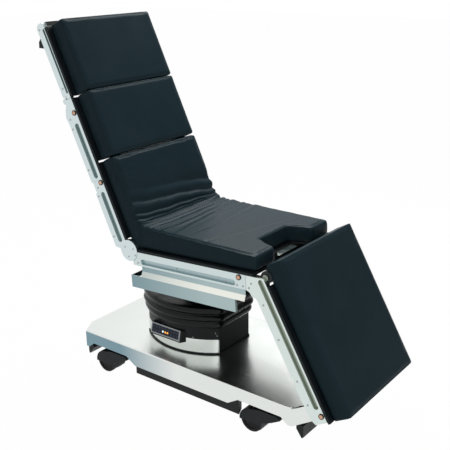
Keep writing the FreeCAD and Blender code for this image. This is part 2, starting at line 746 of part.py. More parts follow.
def slide_rail(side):
    half = RAIL_WIDTH / 2
    middle = side * RAIL_Y
    return box(RAIL_START, RAIL_END, middle - half, middle + half, -RAIL_TOP - RAIL_HEIGHT, -RAIL_TOP)


def tilt_head_parts():
    return {
        "lower_tray": lower_tray(),
        "tilt_block": tilt_block(),
        "slide_rails": group(both_sides(slide_rail)),
    }


def tilt_trunnion():
    """Cross-shaped trunnion that carries the lateral and the longitudinal tilt axis."""
    shoulder = CHEEK_IN - 1
    pin_end = CHEEK_OUT - PIN_END_GAP
    along_y = rod_y(COLUMN_X, TREND_Z, TRUNNION_BODY_RADIUS, -shoulder, shoulder)
    y_pins = rod_y(COLUMN_X, TREND_Z, TRUNNION_RADIUS, -pin_end, pin_end)
    inside = LUG_SPACING / 2
    reach = inside + LUG_THICKNESS
    along_x = rod_x(0, LATERAL_Z, TRUNNION_BODY_RADIUS - 2, COLUMN_X - inside + 1, COLUMN_X + inside - 1)
    x_pins = rod_x(0, LATERAL_Z, TRUNNION_RADIUS, COLUMN_X - reach, COLUMN_X + reach)
    neck = box(COLUMN_X - 20, COLUMN_X + 20, -22, 22, LATERAL_Z, TREND_Z)
    return fuse(along_y, y_pins, along_x, x_pins, neck)


def column_head():
    """Head plate of the inner column with two lugs for the lateral tilt pins."""
    top = HEAD_PLATE_BOTTOM + HEAD_PLATE
    half_x = HEAD_PLATE_X / 2
    half_y = HEAD_PLATE_Y / 2
    base = box(COLUMN_X - half_x, COLUMN_X + half_x, -half_y, half_y, HEAD_PLATE_BOTTOM, top)
    parts = [base]
    for end in SIDES:
        x0 = COLUMN_X + end * LUG_SPACING / 2
        x1 = x0 + end * LUG_THICKNESS
        lug = fuse(box(x0, x1, -24, 24, top, LATERAL_Z), rod_x(0, LATERAL_Z, 24, x0, x1))
        parts.append(lug)
    reach = LUG_SPACING / 2 + LUG_THICKNESS + 1
    bore = rod_x(0, LATERAL_Z, TRUNNION_RADIUS + RUNNING, COLUMN_X - reach, COLUMN_X + reach)
    return fuse(*parts).cut(bore)


# Column

def lens(inset, z0, z1):
    """Plan shape of the column covers: flat ends, bowed long sides."""
    half = COLUMN_LENGTH / 2 - inset
    end = COLUMN_END_WIDTH / 2 - inset
    bow = COLUMN_WIDTH / 2 - inset
    corners = [Vec(COLUMN_X - half, -end, z0), Vec(COLUMN_X + half, -end, z0),
               Vec(COLUMN_X + half, end, z0), Vec(COLUMN_X - half, end, z0)]
    near = Part.Arc(corners[0], Vec(COLUMN_X, -bow, z0), corners[1]).toShape()
    foot = Part.LineSegment(corners[1], corners[2]).toShape()
    far = Part.Arc(corners[2], Vec(COLUMN_X, bow, z0), corners[3]).toShape()
    head = Part.LineSegment(corners[3], corners[0]).toShape()
    return Part.Face(Part.Wire([near, foot, far, head])).extrude(Vec(0, 0, z1 - z0))


def lens_ring(outset, wall, z0, z1):
    return lens(-outset, z0, z1).cut(lens(wall - outset, z0 - 1, z1 + 1))


END_CAP = 4.0
CASING_SKIN = 5.0


def column_cover():
    """Two bowed stainless side covers."""
    ring = lens_ring(0, COVER_SHEET, BASE_TOP + GASKET_HEIGHT, COVER_TOP)
    half = COLUMN_LENGTH / 2 - END_CAP
    covers = []
    for side in SIDES:
        keep = box(COLUMN_X - half, COLUMN_X + half, side * 60, side * (COLUMN_WIDTH / 2 + 5),
                   BASE_TOP, COVER_TOP)
        covers.append(ring.common(keep))
    return group(covers)


def column_casing():
    """Black moulded casing: the flat ends and the collar above the stainless covers."""
    collar = lens_ring(0, CASING_SKIN, COVER_TOP, COLLAR_TOP)
    lower = lens_ring(0, CASING_SKIN, BASE_TOP + GASKET_HEIGHT, COVER_TOP)
    half = COLUMN_LENGTH / 2 - END_CAP
    middle = box(COLUMN_X - half, COLUMN_X + half, -COLUMN_WIDTH, COLUMN_WIDTH, 0, COVER_TOP)
    return fuse(collar, lower.cut(middle))


def cover_gasket():
    return lens_ring(3, 12, BASE_TOP, BASE_TOP + GASKET_HEIGHT)


def bellows():
    """Rubber bellows: three pleats, a flat shoulder and a throat under the column head."""
    pitch = (PLEAT_TOP - COLLAR_TOP - BELLOWS_SKIN) / len(PLEAT_BULGES)
    floor_z = COLLAR_TOP + BELLOWS_SKIN
    valley = PLEAT_BULGES[0] - PLEAT_DEPTH
    parts = [lens_ring(valley, valley + CASING_SKIN, COLLAR_TOP, floor_z)]
    for i, bulge in enumerate(PLEAT_BULGES):
        z0 = floor_z + i * pitch
        following = PLEAT_BULGES[min(i + 1, len(PLEAT_BULGES) - 1)]
        next_valley = min(bulge, following) - PLEAT_DEPTH
        z1 = z0 + PLEAT_NECK * pitch
        z2 = z0 + pitch - PLEAT_NECK * pitch
        parts.append(lens_ring(valley, BELLOWS_SKIN, z0, z1))
        parts.append(lens_ring(bulge, bulge - min(valley, next_valley) + BELLOWS_SKIN, z1, z2))
        parts.append(lens_ring(next_valley, BELLOWS_SKIN, z2, z0 + pitch))
        valley = next_valley
    throat = -BELLOWS_THROAT
    parts.append(lens_ring(valley, valley - throat + BELLOWS_SKIN, PLEAT_TOP - BELLOWS_SKIN, PLEAT_TOP))
    parts.append(lens_ring(throat, BELLOWS_SKIN, PLEAT_TOP, BELLOWS_TOP))
    x = OUTER_TUBE_X / 2
    y = OUTER_TUBE_Y / 2
    lid = lens(BELLOWS_THROAT, BELLOWS_TOP - BELLOWS_SKIN, BELLOWS_TOP)
    opening = box(COLUMN_X - x, COLUMN_X + x, -y, y, BELLOWS_TOP - BELLOWS_SKIN - 1, BELLOWS_TOP + 1)
    return fuse(*parts, lid.cut(opening))


def outer_column():
    x = OUTER_TUBE_X / 2
    y = OUTER_TUBE_Y / 2
    w = OUTER_TUBE_WALL
    tube = box(COLUMN_X - x, COLUMN_X + x, -y, y, OUTER_TUBE_BOTTOM, OUTER_TUBE_TOP)
    space = box(COLUMN_X - x + w, COLUMN_X + x - w, -y + w, y - w,
                OUTER_TUBE_BOTTOM + 8, OUTER_TUBE_TOP + 1)
    foot = box(COLUMN_X - x - 25, COLUMN_X + x + 25, -y - 25, y + 25,
               CHASSIS_PLATE_TOP, CHASSIS_PLATE_TOP + 10)
    return fuse(tube, foot).cut(space)


def inner_column():
    x = OUTER_TUBE_X / 2 - OUTER_TUBE_WALL - TUBE_CLEARANCE
    y = OUTER_TUBE_Y / 2 - OUTER_TUBE_WALL - TUBE_CLEARANCE
    w = OUTER_TUBE_WALL
    tube = box(COLUMN_X - x, COLUMN_X + x, -y, y, INNER_TUBE_BOTTOM, HEAD_PLATE_BOTTOM)
    space = box(COLUMN_X - x + w, COLUMN_X + x - w, -y + w, y - w,
                INNER_TUBE_BOTTOM - 1, HEAD_PLATE_BOTTOM + 1)
    return tube.cut(space)


PISTON_RADIUS = 24.0
PISTON_BOTTOM = 110.0
PISTON_HEIGHT = 22.0
CYLINDER_TOP = 400.0
GLAND_HEIGHT = 15.0


def lift_cylinder():
    bottom = OUTER_TUBE_BOTTOM + 8
    barrel = rod_z(COLUMN_X, 0, RAM_RADIUS, bottom, CYLINDER_TOP)
    space = rod_z(COLUMN_X, 0, PISTON_RADIUS, bottom + 8, CYLINDER_TOP - GLAND_HEIGHT)
    gland = rod_z(COLUMN_X, 0, ROD_RADIUS + RUNNING, CYLINDER_TOP - GLAND_HEIGHT - 1, CYLINDER_TOP + 1)
    return barrel.cut(space).cut(gland)


def lift_rod():
    rod = rod_z(COLUMN_X, 0, ROD_RADIUS, PISTON_BOTTOM, HEAD_PLATE_BOTTOM)
    piston = rod_z(COLUMN_X, 0, PISTON_RADIUS - RUNNING, PISTON_BOTTOM, PISTON_BOTTOM + PISTON_HEIGHT)
    return fuse(rod, piston)


# Control panel

def on_panel(shape):
    """Set a flat panel piece at its place, with its upper edge leaning back."""
    leaning = shape.copy()
    leaning.Placement = FreeCAD.Placement(Vec(PANEL_X, PANEL_FACE_Y, PANEL_BOTTOM),
                                          FreeCAD.Rotation(Vec(1, 0, 0), -PANEL_LEAN))
    return leaning


def panel_housing():
    """Black housing that stands out of the near cover and carries the control panel."""
    x0 = PANEL_X - PANEL_LENGTH / 2
    x1 = PANEL_X + PANEL_LENGTH / 2
    z0 = PANEL_BOTTOM - HOUSING_FOOT
    z1 = PANEL_BOTTOM + PANEL_HEIGHT * math.cos(math.radians(PANEL_LEAN))
    inside = -COLUMN_WIDTH / 2 + 40
    front = PANEL_FACE_Y - 5
    shoulder_x = x1 + PANEL_SHOULDER
    outline = [(x0, front), (x1, front), (shoulder_x, inside - 10), (shoulder_x, inside), (x0, inside)]
    body = slab_z(outline, z0, z1)
    reach = PANEL_LENGTH
    ahead = box(-reach, reach, -PANEL_LENGTH, PANEL_THICKNESS, -PANEL_LENGTH, PANEL_LENGTH)
    return body.cut(on_panel(ahead)).cut(lens(-0.3, z0 - 1, z1 + 1))


def panel_bezel():
    half = PANEL_LENGTH / 2
    rim = PANEL_RIM
    outer = box(-half, half, 0, PANEL_THICKNESS, 0, PANEL_HEIGHT)
    inner = box(rim - half, half - rim, -1, PANEL_THICKNESS + 1, rim, PANEL_HEIGHT - rim)
    return on_panel(outer.cut(inner))


def panel_keypad():
    half = PANEL_LENGTH / 2 - PANEL_RIM
    return on_panel(box(-half, half, 1, PANEL_THICKNESS, PANEL_RIM, PANEL_HEIGHT - PANEL_RIM))


# Base

def base_plan(inset, z0, z1):
    half_x = BASE_LENGTH / 2 - inset
    half_y = BASE_WIDTH / 2 - inset
    cx = CORNER_X
    cy = CORNER_Y
    points = []
    for sx, sy, first in ((-1, -1, "y"), (1, -1, "x"), (1, 1, "y"), (-1, 1, "x")):
        along_y = (sx * half_x, sy * (half_y - cy))
        along_x = (sx * (half_x - cx), sy * half_y)
        points += [along_y, along_x] if first == "y" else [along_x, along_y]
    return slab_z(points, z0, z1)


def base_cover():
    """Folded stainless cover with chamfered corners and aprons that arch over the casters."""
    outer = base_plan(0, 60, BASE_TOP)
    outer = round_edges(outer, 5, lambda edge: edge.BoundBox.ZMin > BASE_TOP - 1)
    shell = outer.cut(base_plan(BASE_SHEET, 59, BASE_TOP - BASE_SHEET))
    end = BASE_LENGTH / 2 + 1
    below = [(-end, 50), (end, 50), (end, APRON_END), (APRON_END_X, APRON_END), (ARCH_END_X, APRON_ARCH),
             (ARCH_START_X, APRON_ARCH), (APRON_DEEP_X, APRON_LOW), (-APRON_DEEP_X, APRON_LOW),
             (-ARCH_START_X, APRON_ARCH), (-ARCH_END_X, APRON_ARCH), (-APRON_END_X, APRON_END),
             (-end, APRON_END)]
    shell = shell.cut(slab_y(below, -BASE_WIDTH, BASE_WIDTH))
    hole = box(COLUMN_X - OUTER_TUBE_X / 2 - 15, COLUMN_X + OUTER_TUBE_X / 2 + 15,
               -OUTER_TUBE_Y / 2 - 15, OUTER_TUBE_Y / 2 + 15, BASE_TOP - 10, BASE_TOP + 1)
    return shell.cut(hole)


def chassis():
    """Welded steel frame: side beams, cross beams, caster arms, spine and column plate."""
    half_y = BASE_WIDTH / 2 - BASE_SHEET - CHASSIS_SIDE_GAP
    beam = CHASSIS_BEAM
    x0 = CHASSIS_HEAD_X
    x1 = CHASSIS_FOOT_X
    low = CHASSIS_ARM_BOTTOM
    parts = []
    for side in SIDES:
        parts.append(box(x0, x1, side * (half_y - beam), side * half_y, CHASSIS_BOTTOM, CHASSIS_TOP))
        tip = [(x1 - 1, side * (half_y - beam)), (x1 + 8, side * (half_y - beam)), (x1 + 24, side * half_y),
               (x1 - 1, side * half_y)]
        parts.append(slab_z(tip, CHASSIS_BOTTOM, CHASSIS_TOP))
        parts.append(box(-CASTER_X - 40, CASTER_X + 40, side * (half_y - 80), side * (half_y - beam),
                         low, CHASSIS_TOP))
        for end in SIDES:
            parts.append(box(end * (CASTER_X - 35), end * (CASTER_X + 35), side * (CASTER_Y - 35),
                             side * half_y, low, CHASSIS_TOP))
            bearing = PEDAL_INNER_Y - 10
            parts.append(box(end * (CASTER_X - 10), end * (PEDAL_SHAFT_X + 18), side * (bearing - 30),
                             side * bearing, low, CHASSIS_TOP))
            parts.append(box(end * (PEDAL_SHAFT_X - 18), end * (PEDAL_SHAFT_X + 18), side * (bearing - 18),
                             side * (bearing - 2), PEDAL_SHAFT_Z - 16, low))
    for cross in (x0 - 14, x1 - beam + 12, -CASTER_X - 14, CASTER_X - 14):
        parts.append(box(cross, cross + 28, -half_y + 20, half_y - 20, low, CHASSIS_TOP))
    parts.append(box(x0, x1, -half_y + beam, half_y - beam, CHASSIS_PLATE_BOTTOM, CHASSIS_PLATE_TOP))
    frame = fuse(*parts)
    tube_hole = box(COLUMN_X - OUTER_TUBE_X / 2, COLUMN_X + OUTER_TUBE_X / 2, -OUTER_TUBE_Y / 2,
                    OUTER_TUBE_Y / 2, CHASSIS_PLATE_BOTTOM - 1, CHASSIS_PLATE_TOP + 1)
    frame = frame.cut(tube_hole)
    for end in SIDES:
        bore = rod_y(end * PEDAL_SHAFT_X, PEDAL_SHAFT_Z, PEDAL_SHAFT_RADIUS + RUNNING,
                     -PEDAL_INNER_Y, PEDAL_INNER_Y)
        frame = frame.cut(bore)
        for side in SIDES:
            frame = frame.cut(rod_z(end * CASTER_X, side * CASTER_Y, STEM_RADIUS + RUNNING,
                                    low - 1, CHASSIS_TOP - 6))
    return frame


def brake_bar(end):
    """Brake shaft across one end of the base with a pedal at each corner."""
    shaft = rod_y(end * PEDAL_SHAFT_X, PEDAL_SHAFT_Z, PEDAL_SHAFT_RADIUS, -PEDAL_INNER_Y, PEDAL_INNER_Y)
    parts = [shaft]
    for side in SIDES:
        points = [(-10, 13), (PEDAL_REACH, 13), (PEDAL_REACH - 1, -PEDAL_DROP + 4),
                  (PEDAL_REACH - 8, -PEDAL_DROP), (-10, -8)]
        points = [(end * (PEDAL_SHAFT_X + x), PEDAL_SHAFT_Z + z) for x, z in points]
        parts.append(slab_y(points, side * PEDAL_INNER_Y, side * PEDAL_OUTER_Y))
    return fuse(*parts)


def caster_hood(x, y):
    """Swivel housing of a twin-wheel caster, with its stem; the wheels trail toward the head end."""
    axle_x = -CASTER_TRAIL
    skin = WHEEL_RADIUS + HOOD_SKIN
    half = HOOD_WIDTH / 2
    disc = rod_y(axle_x, WHEEL_RADIUS, skin, -half, half)
    tail = slab_y([(axle_x, WHEEL_RADIUS + skin), (-24, CASTER_TOP), (54, CASTER_TOP), (66, CASTER_TOP - 5),
                   (68, CASTER_TOP - 13), (30, 78), (-12, 60), (-24, 36), (axle_x, 10)], -half, half)
    body = fuse(disc, tail)
    for side in SIDES:
        wheel_space = rod_y(axle_x, WHEEL_RADIUS, WHEEL_RADIUS + 1.5,
                            side * HOOD_WEB, side * (half - HOOD_SKIN))
        body = body.cut(wheel_space)
        body = body.cut(box(axle_x - 80, axle_x + 46, side * HOOD_WEB, side * (half + 1), -10, HOOD_EDGE))
    body = body.cut(box(axle_x - 80, axle_x + 46, -HOOD_WEB - 1, HOOD_WEB + 1, -10, 24))
    stem = rod_z(0, 0, STEM_RADIUS, CASTER_TOP - 10, CHASSIS_TOP - 8)
    bore = rod_y(axle_x, WHEEL_RADIUS, AXLE_RADIUS + RUNNING, -HOOD_WEB - 1, HOOD_WEB + 1)
    hood = fuse(body, stem).cut(bore)
    hood.translate(Vec(x, y, 0))
    return hood


def caster_wheels(x, y):
    axle_x = -CASTER_TRAIL
    parts = [rod_y(axle_x, WHEEL_RADIUS, AXLE_RADIUS, -10, 10)]
    for side in SIDES:
        y0 = 10.0
        y1 = 10.0 + WHEEL_WIDTH
        wheel = rod_y(axle_x, WHEEL_RADIUS, WHEEL_RADIUS, side * y0, side * y1)
        wheel = round_edges(wheel, 5, lambda edge: True)
        dish = rod_y(axle_x, WHEEL_RADIUS, WHEEL_RADIUS - 14, side * (y1 - 3), side * (y1 + 1))
        parts.append(wheel.cut(dish))
    wheels = fuse(*parts)
    wheels.translate(Vec(x, y, 0))
    return wheels


CORNERS = {
    "head_near": (-CASTER_X, -CASTER_Y),
    "head_far": (-CASTER_X, CASTER_Y),
    "foot_near": (CASTER_X, -CASTER_Y),
    "foot_far": (CASTER_X, CASTER_Y),
}


def base_parts():
    parts = {
        "base_cover": base_cover(),
        "chassis": chassis(),
        "brake_bar_head": brake_bar(-1),
        "brake_bar_foot": brake_bar(1),
    }
    for name, (x, y) in CORNERS.items():
        parts["caster_hood_" + name] = caster_hood(x, y)
        parts["caster_wheels_" + name] = caster_wheels(x, y)
    return parts


def column_parts():
    return {
        "outer_column": outer_column(),
        "lift_cylinder": lift_cylinder(),
        "column_cover": column_cover(),
        "column_casing": column_casing(),
        "cover_gasket": cover_gasket(),
        "panel_housing": panel_housing(),
        "panel_bezel": panel_bezel(),
        "panel_keypad": panel_keypad(),
        "bellows": bellows(),
        "inner_column": inner_column(),
        "lift_rod": lift_rod(),
        "column_head": column_head(),
        "tilt_trunnion": tilt_trunnion(),
    }


def all_parts():
    """Every sub-part at its rest place, moved so that zero is under the middle of the whole."""
    parts = {}
    parts.update(base_parts())
    parts.update(column_parts())
    for name, shape in tilt_head_parts().items():
        parts[name] = on_seat(shape)
    for name, shape in seat_parts().items():
        parts[name] = on_seat(shape)
    for section in (lower_back_parts(), upper_back_parts(), head_parts()):
        for name, shape in section.items():
            parts[name] = on_back(shape)
    for name, shape in leg_parts().items():
        parts[name] = on_leg(shape)
    return parts


def middle_x(parts):
    whole = group(list(parts.values())).optimalBoundingBox(False, False)
    return (whole.XMin + whole.XMax) / 2


def main():
    parts = all_parts()
    shift = Vec(-middle_x(parts), 0, 0)
    os.makedirs("parts", exist_ok=True)
    for name, shape in parts.items():
        placed_shape = shape.copy()
        placed_shape.translate(shift)
        placed_shape.exportStep("parts/" + name + ".step")
        print(name, len(placed_shape.Solids), round(placed_shape.Volume / 1e6, 3), placed_shape.isValid())
    print("shift", shift.x, "nodes", len(parts))


main()
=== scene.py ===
# %% [markdown]
# # An operating table
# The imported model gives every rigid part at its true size. This lesson dresses it: cushions with
# a coated cover, a rubber bellows, screws, a control panel, brushed metal and soft studio light.

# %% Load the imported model
import bpy
import bmesh
import math
import numpy as np
from mathutils import Matrix, Vector


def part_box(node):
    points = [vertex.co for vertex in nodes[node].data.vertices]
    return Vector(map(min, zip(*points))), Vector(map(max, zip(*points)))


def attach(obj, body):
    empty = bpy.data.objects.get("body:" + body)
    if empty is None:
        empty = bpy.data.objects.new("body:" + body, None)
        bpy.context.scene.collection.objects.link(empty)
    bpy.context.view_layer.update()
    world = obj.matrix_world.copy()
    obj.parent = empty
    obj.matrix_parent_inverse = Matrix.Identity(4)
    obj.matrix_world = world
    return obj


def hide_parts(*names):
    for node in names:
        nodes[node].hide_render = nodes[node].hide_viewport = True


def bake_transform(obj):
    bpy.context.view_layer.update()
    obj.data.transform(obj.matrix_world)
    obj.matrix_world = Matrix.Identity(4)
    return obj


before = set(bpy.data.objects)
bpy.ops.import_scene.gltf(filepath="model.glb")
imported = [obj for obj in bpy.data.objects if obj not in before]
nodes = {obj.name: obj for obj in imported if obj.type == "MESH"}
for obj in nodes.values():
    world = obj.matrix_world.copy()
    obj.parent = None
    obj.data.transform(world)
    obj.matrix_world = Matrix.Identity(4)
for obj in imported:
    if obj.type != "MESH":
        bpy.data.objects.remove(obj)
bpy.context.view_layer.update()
print("nodes", len(nodes))

# %% [markdown]
# ## Where things are
# The table top's sections are drawn flat and then turned to their rest angle about a hinge. So each
# screw and cushion is described in its section's own flat frame: X towards the foot, Z towards the
# patient. SHIFT moves the places from the drawing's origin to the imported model's.

# %% Frames of the sections
low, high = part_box("base_cover")
SHIFT = (low.x + high.x) / 2
COLUMN_X = -0.121 + SHIFT
TOP_TILT = math.radians(3.2)
BACK_ANGLE = math.radians(64.56)
LEG_ANGLE = math.radians(60.05)
BACK_HINGE = Vector((-0.2496 + SHIFT, 0.0, 0.650))
SEAT_LENGTH = 0.668


def section_matrix(hinge, angle):
    return Matrix.Translation(hinge) @ Matrix.Rotation(angle, 4, "Y")


SEAT = section_matrix(BACK_HINGE, -TOP_TILT)
BACK = section_matrix(BACK_HINGE, BACK_ANGLE)
LEG = section_matrix(SEAT @ Vector((SEAT_LENGTH, 0, 0)), LEG_ANGLE)
PLATE_FACE = 0.280
PAD_HALF = 0.260
BOARD_TOP = 0.010
PAD_TOP = 0.087
print("back hinge", tuple(round(v, 4) for v in BACK_HINGE))

# %% [markdown]
# ## The camera
# It stands where the photographer stood: towards the foot end, a little above the seat, with a
# short telephoto lens. The angles are those that make the base and the cushions' edges line up.

# %% Camera
CAMERA_PLACE = Vector((1.8985 + SHIFT, -2.4314, 1.7863))
AZIMUTH = math.radians(37.51)
ELEVATION = math.radians(18.87)
ROLL = math.radians(-0.61)
LENS = 62.99

back_axis = Vector((math.sin(AZIMUTH) * math.cos(ELEVATION), -math.cos(AZIMUTH) * math.cos(ELEVATION),
                    math.sin(ELEVATION)))
right_axis = Vector((math.cos(AZIMUTH), math.sin(AZIMUTH), 0))
up_axis = back_axis.cross(right_axis)
right_rolled = right_axis * math.cos(ROLL) + up_axis * math.sin(ROLL)
up_rolled = up_axis * math.cos(ROLL) - right_axis * math.sin(ROLL)
turn = Matrix((right_rolled, up_rolled, back_axis)).transposed().to_4x4()
camera_data = bpy.data.cameras.new("camera")
camera_data.lens = LENS
camera_data.sensor_width = 36.0
camera = bpy.data.objects.new("camera", camera_data)
bpy.context.scene.collection.objects.link(camera)
camera.matrix_world = Matrix.Translation(CAMERA_PLACE) @ turn
bpy.context.scene.camera = camera
print("camera", tuple(round(v, 3) for v in CAMERA_PLACE))

# %% [markdown]
# ## Writing a finish as sums
# A procedural finish is arithmetic on noise. Wiring Math nodes by hand hides that arithmetic, so one
# small class wraps a socket and lets plain expressions add the nodes.

# %% Sockets as values

class Value:
    """A shader socket that takes part in ordinary sums."""

    def __init__(self, finish, socket):
        self.finish = finish
        self.socket = socket

    def math(self, operation, first, second=0.0):
        return self.finish.node("ShaderNodeMath", {"operation": operation}, {0: first, 1: second})

    def __add__(self, other):
        return self.math("ADD", self, other)

    def __sub__(self, other):
        return self.math("SUBTRACT", self, other)

    def __rsub__(self, other):
        return self.math("SUBTRACT", other, self)

    def __mul__(self, other):
        return self.math("MULTIPLY", self, other)

    def __truediv__(self, other):
        return self.math("DIVIDE", self, other)

    def clamp(self):
        return self.finish.node("ShaderNodeClamp", {}, {0: self})

    def ramp(self, low, high):
        """0 up to low, 1 from high on, and even between them."""
        return ((self - low) / (high - low)).clamp()


class Wiring:
    """A node tree, and one method that adds any node to it."""

    def __init__(self, tree):
        self.tree = tree

    def node(self, kind, settings, inputs, out=0):
        made = self.tree.nodes.new(kind)
        for key, value in settings.items():
            setattr(made, key, value)
        for key, value in inputs.items():
            if isinstance(value, Value):
                self.tree.links.new(value.socket, made.inputs[key])
            else:
                made.inputs[key].default_value = value
        return Value(self, made.outputs[out])


class Finish(Wiring):
    """A material on the Principled shader, with its maker's shorthand."""

    def __init__(self, name, color, roughness, metallic=0.0, **constants):
        self.material = bpy.data.materials.new(name)
        self.material.use_nodes = True
        super().__init__(self.material.node_tree)
        self.shader = self.tree.nodes["Principled BSDF"]
        self.shader.inputs["Base Color"].default_value = (*color, 1)
        self.shader.inputs["Roughness"].default_value = roughness
        self.shader.inputs["Metallic"].default_value = metallic
        for key, value in constants.items():
            self.shader.inputs[key.replace("_", " ")].default_value = value

    def height_along(self, direction, origin=(0, 0, 0)):
        """How far a point lies from origin along a direction."""
        point = self.node("ShaderNodeTexCoord", {}, {}, "Object")
        reach = self.node("ShaderNodeVectorMath", {"operation": "DOT_PRODUCT"},
                          {0: point, 1: tuple(direction)}, "Value")
        return reach - Vector(origin).dot(Vector(direction))

    def math_abs(self, value):
        return self.node("ShaderNodeMath", {"operation": "ABSOLUTE"}, {0: value})

    def place(self, scale=(1, 1, 1), turn=(0, 0, 0)):
        """Object coordinates, stretched and turned."""
        point = self.node("ShaderNodeTexCoord", {}, {}, "Object")
        return self.node("ShaderNodeMapping", {}, {"Vector": point, "Rotation": turn, "Scale": scale})

    def noise(self, scale, detail=3.0, stretch=(1, 1, 1), turn=(0, 0, 0), roughness=0.5):
        return self.node("ShaderNodeTexNoise", {}, {"Vector": self.place(stretch, turn), "Scale": scale,
                                                    "Detail": detail, "Roughness": roughness}, "Fac")

    def cells(self, scale, stretch=(1, 1, 1)):
        return self.node("ShaderNodeTexVoronoi", {}, {"Vector": self.place(stretch), "Scale": scale},
                         "Distance")

    def blend_colors(self, amount, first, second):
        return self.node("ShaderNodeMix", {"data_type": "RGBA"},
                         {0: amount, 6: (*first, 1) if isinstance(first, tuple) else first,
                          7: (*second, 1) if isinstance(second, tuple) else second}, 2)

    def feed(self, **inputs):
        for key, value in inputs.items():
            self.tree.links.new(value.socket, self.shader.inputs[key.replace("_", " ")])
        return self

    def bump(self, height, strength, distance):
        normal = self.node("ShaderNodeBump", {},
                           {"Strength": strength, "Distance": distance, "Height": height})
        return self.feed(Normal=normal)


# %% [markdown]
# ## Metals
# The base cover and column covers are brushed stainless steel: bright, blurred reflections and fine
# lines along the brushing direction. The section frames are satin aluminium profiles with painted
# shade in their grooves, and the aprons and skirts carry painted reflections and a painted highlight.
# The lines are noise that is stretched along X and squeezed across it.

# %% Brushed steel and aluminium
ALONG = (1, 0, 0)
ACROSS = (0, 1, 0)
UP = (0, 0, 1)
APRON_TOP = 0.199
APRON_EDGE = 0.003
# Painted reflection: the aprons' blue-grey of the mirrored room, strongest at the head end.
APRON_REFLECTION_FADE = (-0.33, -0.02)
APRON_PAINTED_REFLECTION = (0.20, 0.31, 0.36)
# Painted shade: a rail's groove and the frame inside the side plates are painted darker, where shade falls.
GROOVE_STARTS = 0.004
GROOVE_ENDS = 0.010
INNER_FRAME_STARTS = 0.018
INNER_FRAME_ENDS = 0.022
INNER_FRAME_PAINTED_SHADE = (0.05, 0.055, 0.055)
# Painted light on the skirts: a painted highlight on the flared edge and a painted reflection on the upright
# faces.
SKIRT_FLARE = (0.10, 0.25)
SKIRT_REFLECTION_FADE = (-0.32, 0.12)
SKIRT_PAINTED_REFLECTION = (0.48, 0.58, 0.57)
SKIRT_PAINTED_HIGHLIGHT = (0.86, 0.87, 0.80)


def brushed(name, color, roughness, along, turn=(0, 0, 0), depth=0.00004, spread=0.10, painted_light=None):
    """Metal with fine lines along one direction; painted_light(finish) gives masks of painted light and the
    colour painted under each.
    """
    finish = Finish(name, color, roughness, 1.0)
    lines = finish.noise(1.0, 4.0, along, turn, 0.65)
    cloud = finish.noise(7.0, 2.0)
    finish.feed(Roughness=(lines - 0.5) * spread + (cloud - 0.5) * 0.10 + roughness)
    darker = tuple(channel * 0.90 for channel in color)
    shade = finish.blend_colors((lines * 0.7 + cloud * 0.3).clamp(), darker, color)
    # Painted light: each mask lays a painted shade, highlight or reflection colour over the metal.
    for mask, under in painted_light(finish) if painted_light else ():
        shade = finish.blend_colors(mask, shade, under)
    finish.feed(Base_Color=shade)
    return finish.bump(lines, 0.25, depth)


def apron_painted_reflection(finish):
    """Painted reflection: the upright aprons are painted blue-grey towards the head end, as the room
    mirrored there, and turn pale towards the foot end.
    """
    apron = 1 - finish.height_along(UP).ramp(APRON_TOP - APRON_EDGE, APRON_TOP)
    headward_reflection = 1 - finish.height_along(ALONG, (SHIFT, 0, 0)).ramp(*APRON_REFLECTION_FADE)
    return ((apron * headward_reflection, APRON_PAINTED_REFLECTION),)


def groove_painted_shade(color):
    """Painted shade: the floor of a rail's groove is painted darker than its lips, and the frame behind it
    darker still, where shade falls.
    """
    def painted_light(finish):
        across = finish.math_abs(finish.height_along(ACROSS))
        groove = 1 - across.ramp(PLATE_FACE - GROOVE_ENDS, PLATE_FACE - GROOVE_STARTS)
        inner_frame_shade = 1 - across.ramp(PLATE_FACE - INNER_FRAME_ENDS, PLATE_FACE - INNER_FRAME_STARTS)
        return ((groove, color), (inner_frame_shade, INNER_FRAME_PAINTED_SHADE))
    return painted_light


def skirt_painted_light(finish):
    """Painted light: the skirt's flared edge gets a painted highlight, and its upright faces a painted
    reflection of the room's blue-grey, paler towards the foot end.
    """
    facing = finish.node("ShaderNodeNewGeometry", {}, {}, "True Normal")
    upward = finish.node("ShaderNodeVectorMath", {"operation": "DOT_PRODUCT"}, {0: facing, 1: UP}, "Value")
    flared = finish.math_abs(upward).ramp(*SKIRT_FLARE)
    footward_light = finish.height_along(ALONG, (SHIFT, 0, 0)).ramp(*SKIRT_REFLECTION_FADE)
    return ((footward_light * 0.7, SKIRT_PAINTED_REFLECTION), (flared * (footward_light * 0.7 + 0.3), SKIRT_PAINTED_HIGHLIGHT))


COVER_STEEL = brushed("brushed_cover_steel", (0.80, 0.83, 0.81), 0.24, (3, 420, 420), painted_light=apron_painted_reflection)
COLUMN_STEEL = brushed("column_cover_steel", (0.74, 0.77, 0.74), 0.26, (3, 3, 700))
# The skirt steel's dark blue-grey colour is a painted reflection of the room.
SKIRT_STEEL = brushed("skirt_steel", (0.22, 0.33, 0.37), 0.32, (4, 500, 500), (0, -TOP_TILT, 0),
                      painted_light=skirt_painted_light)
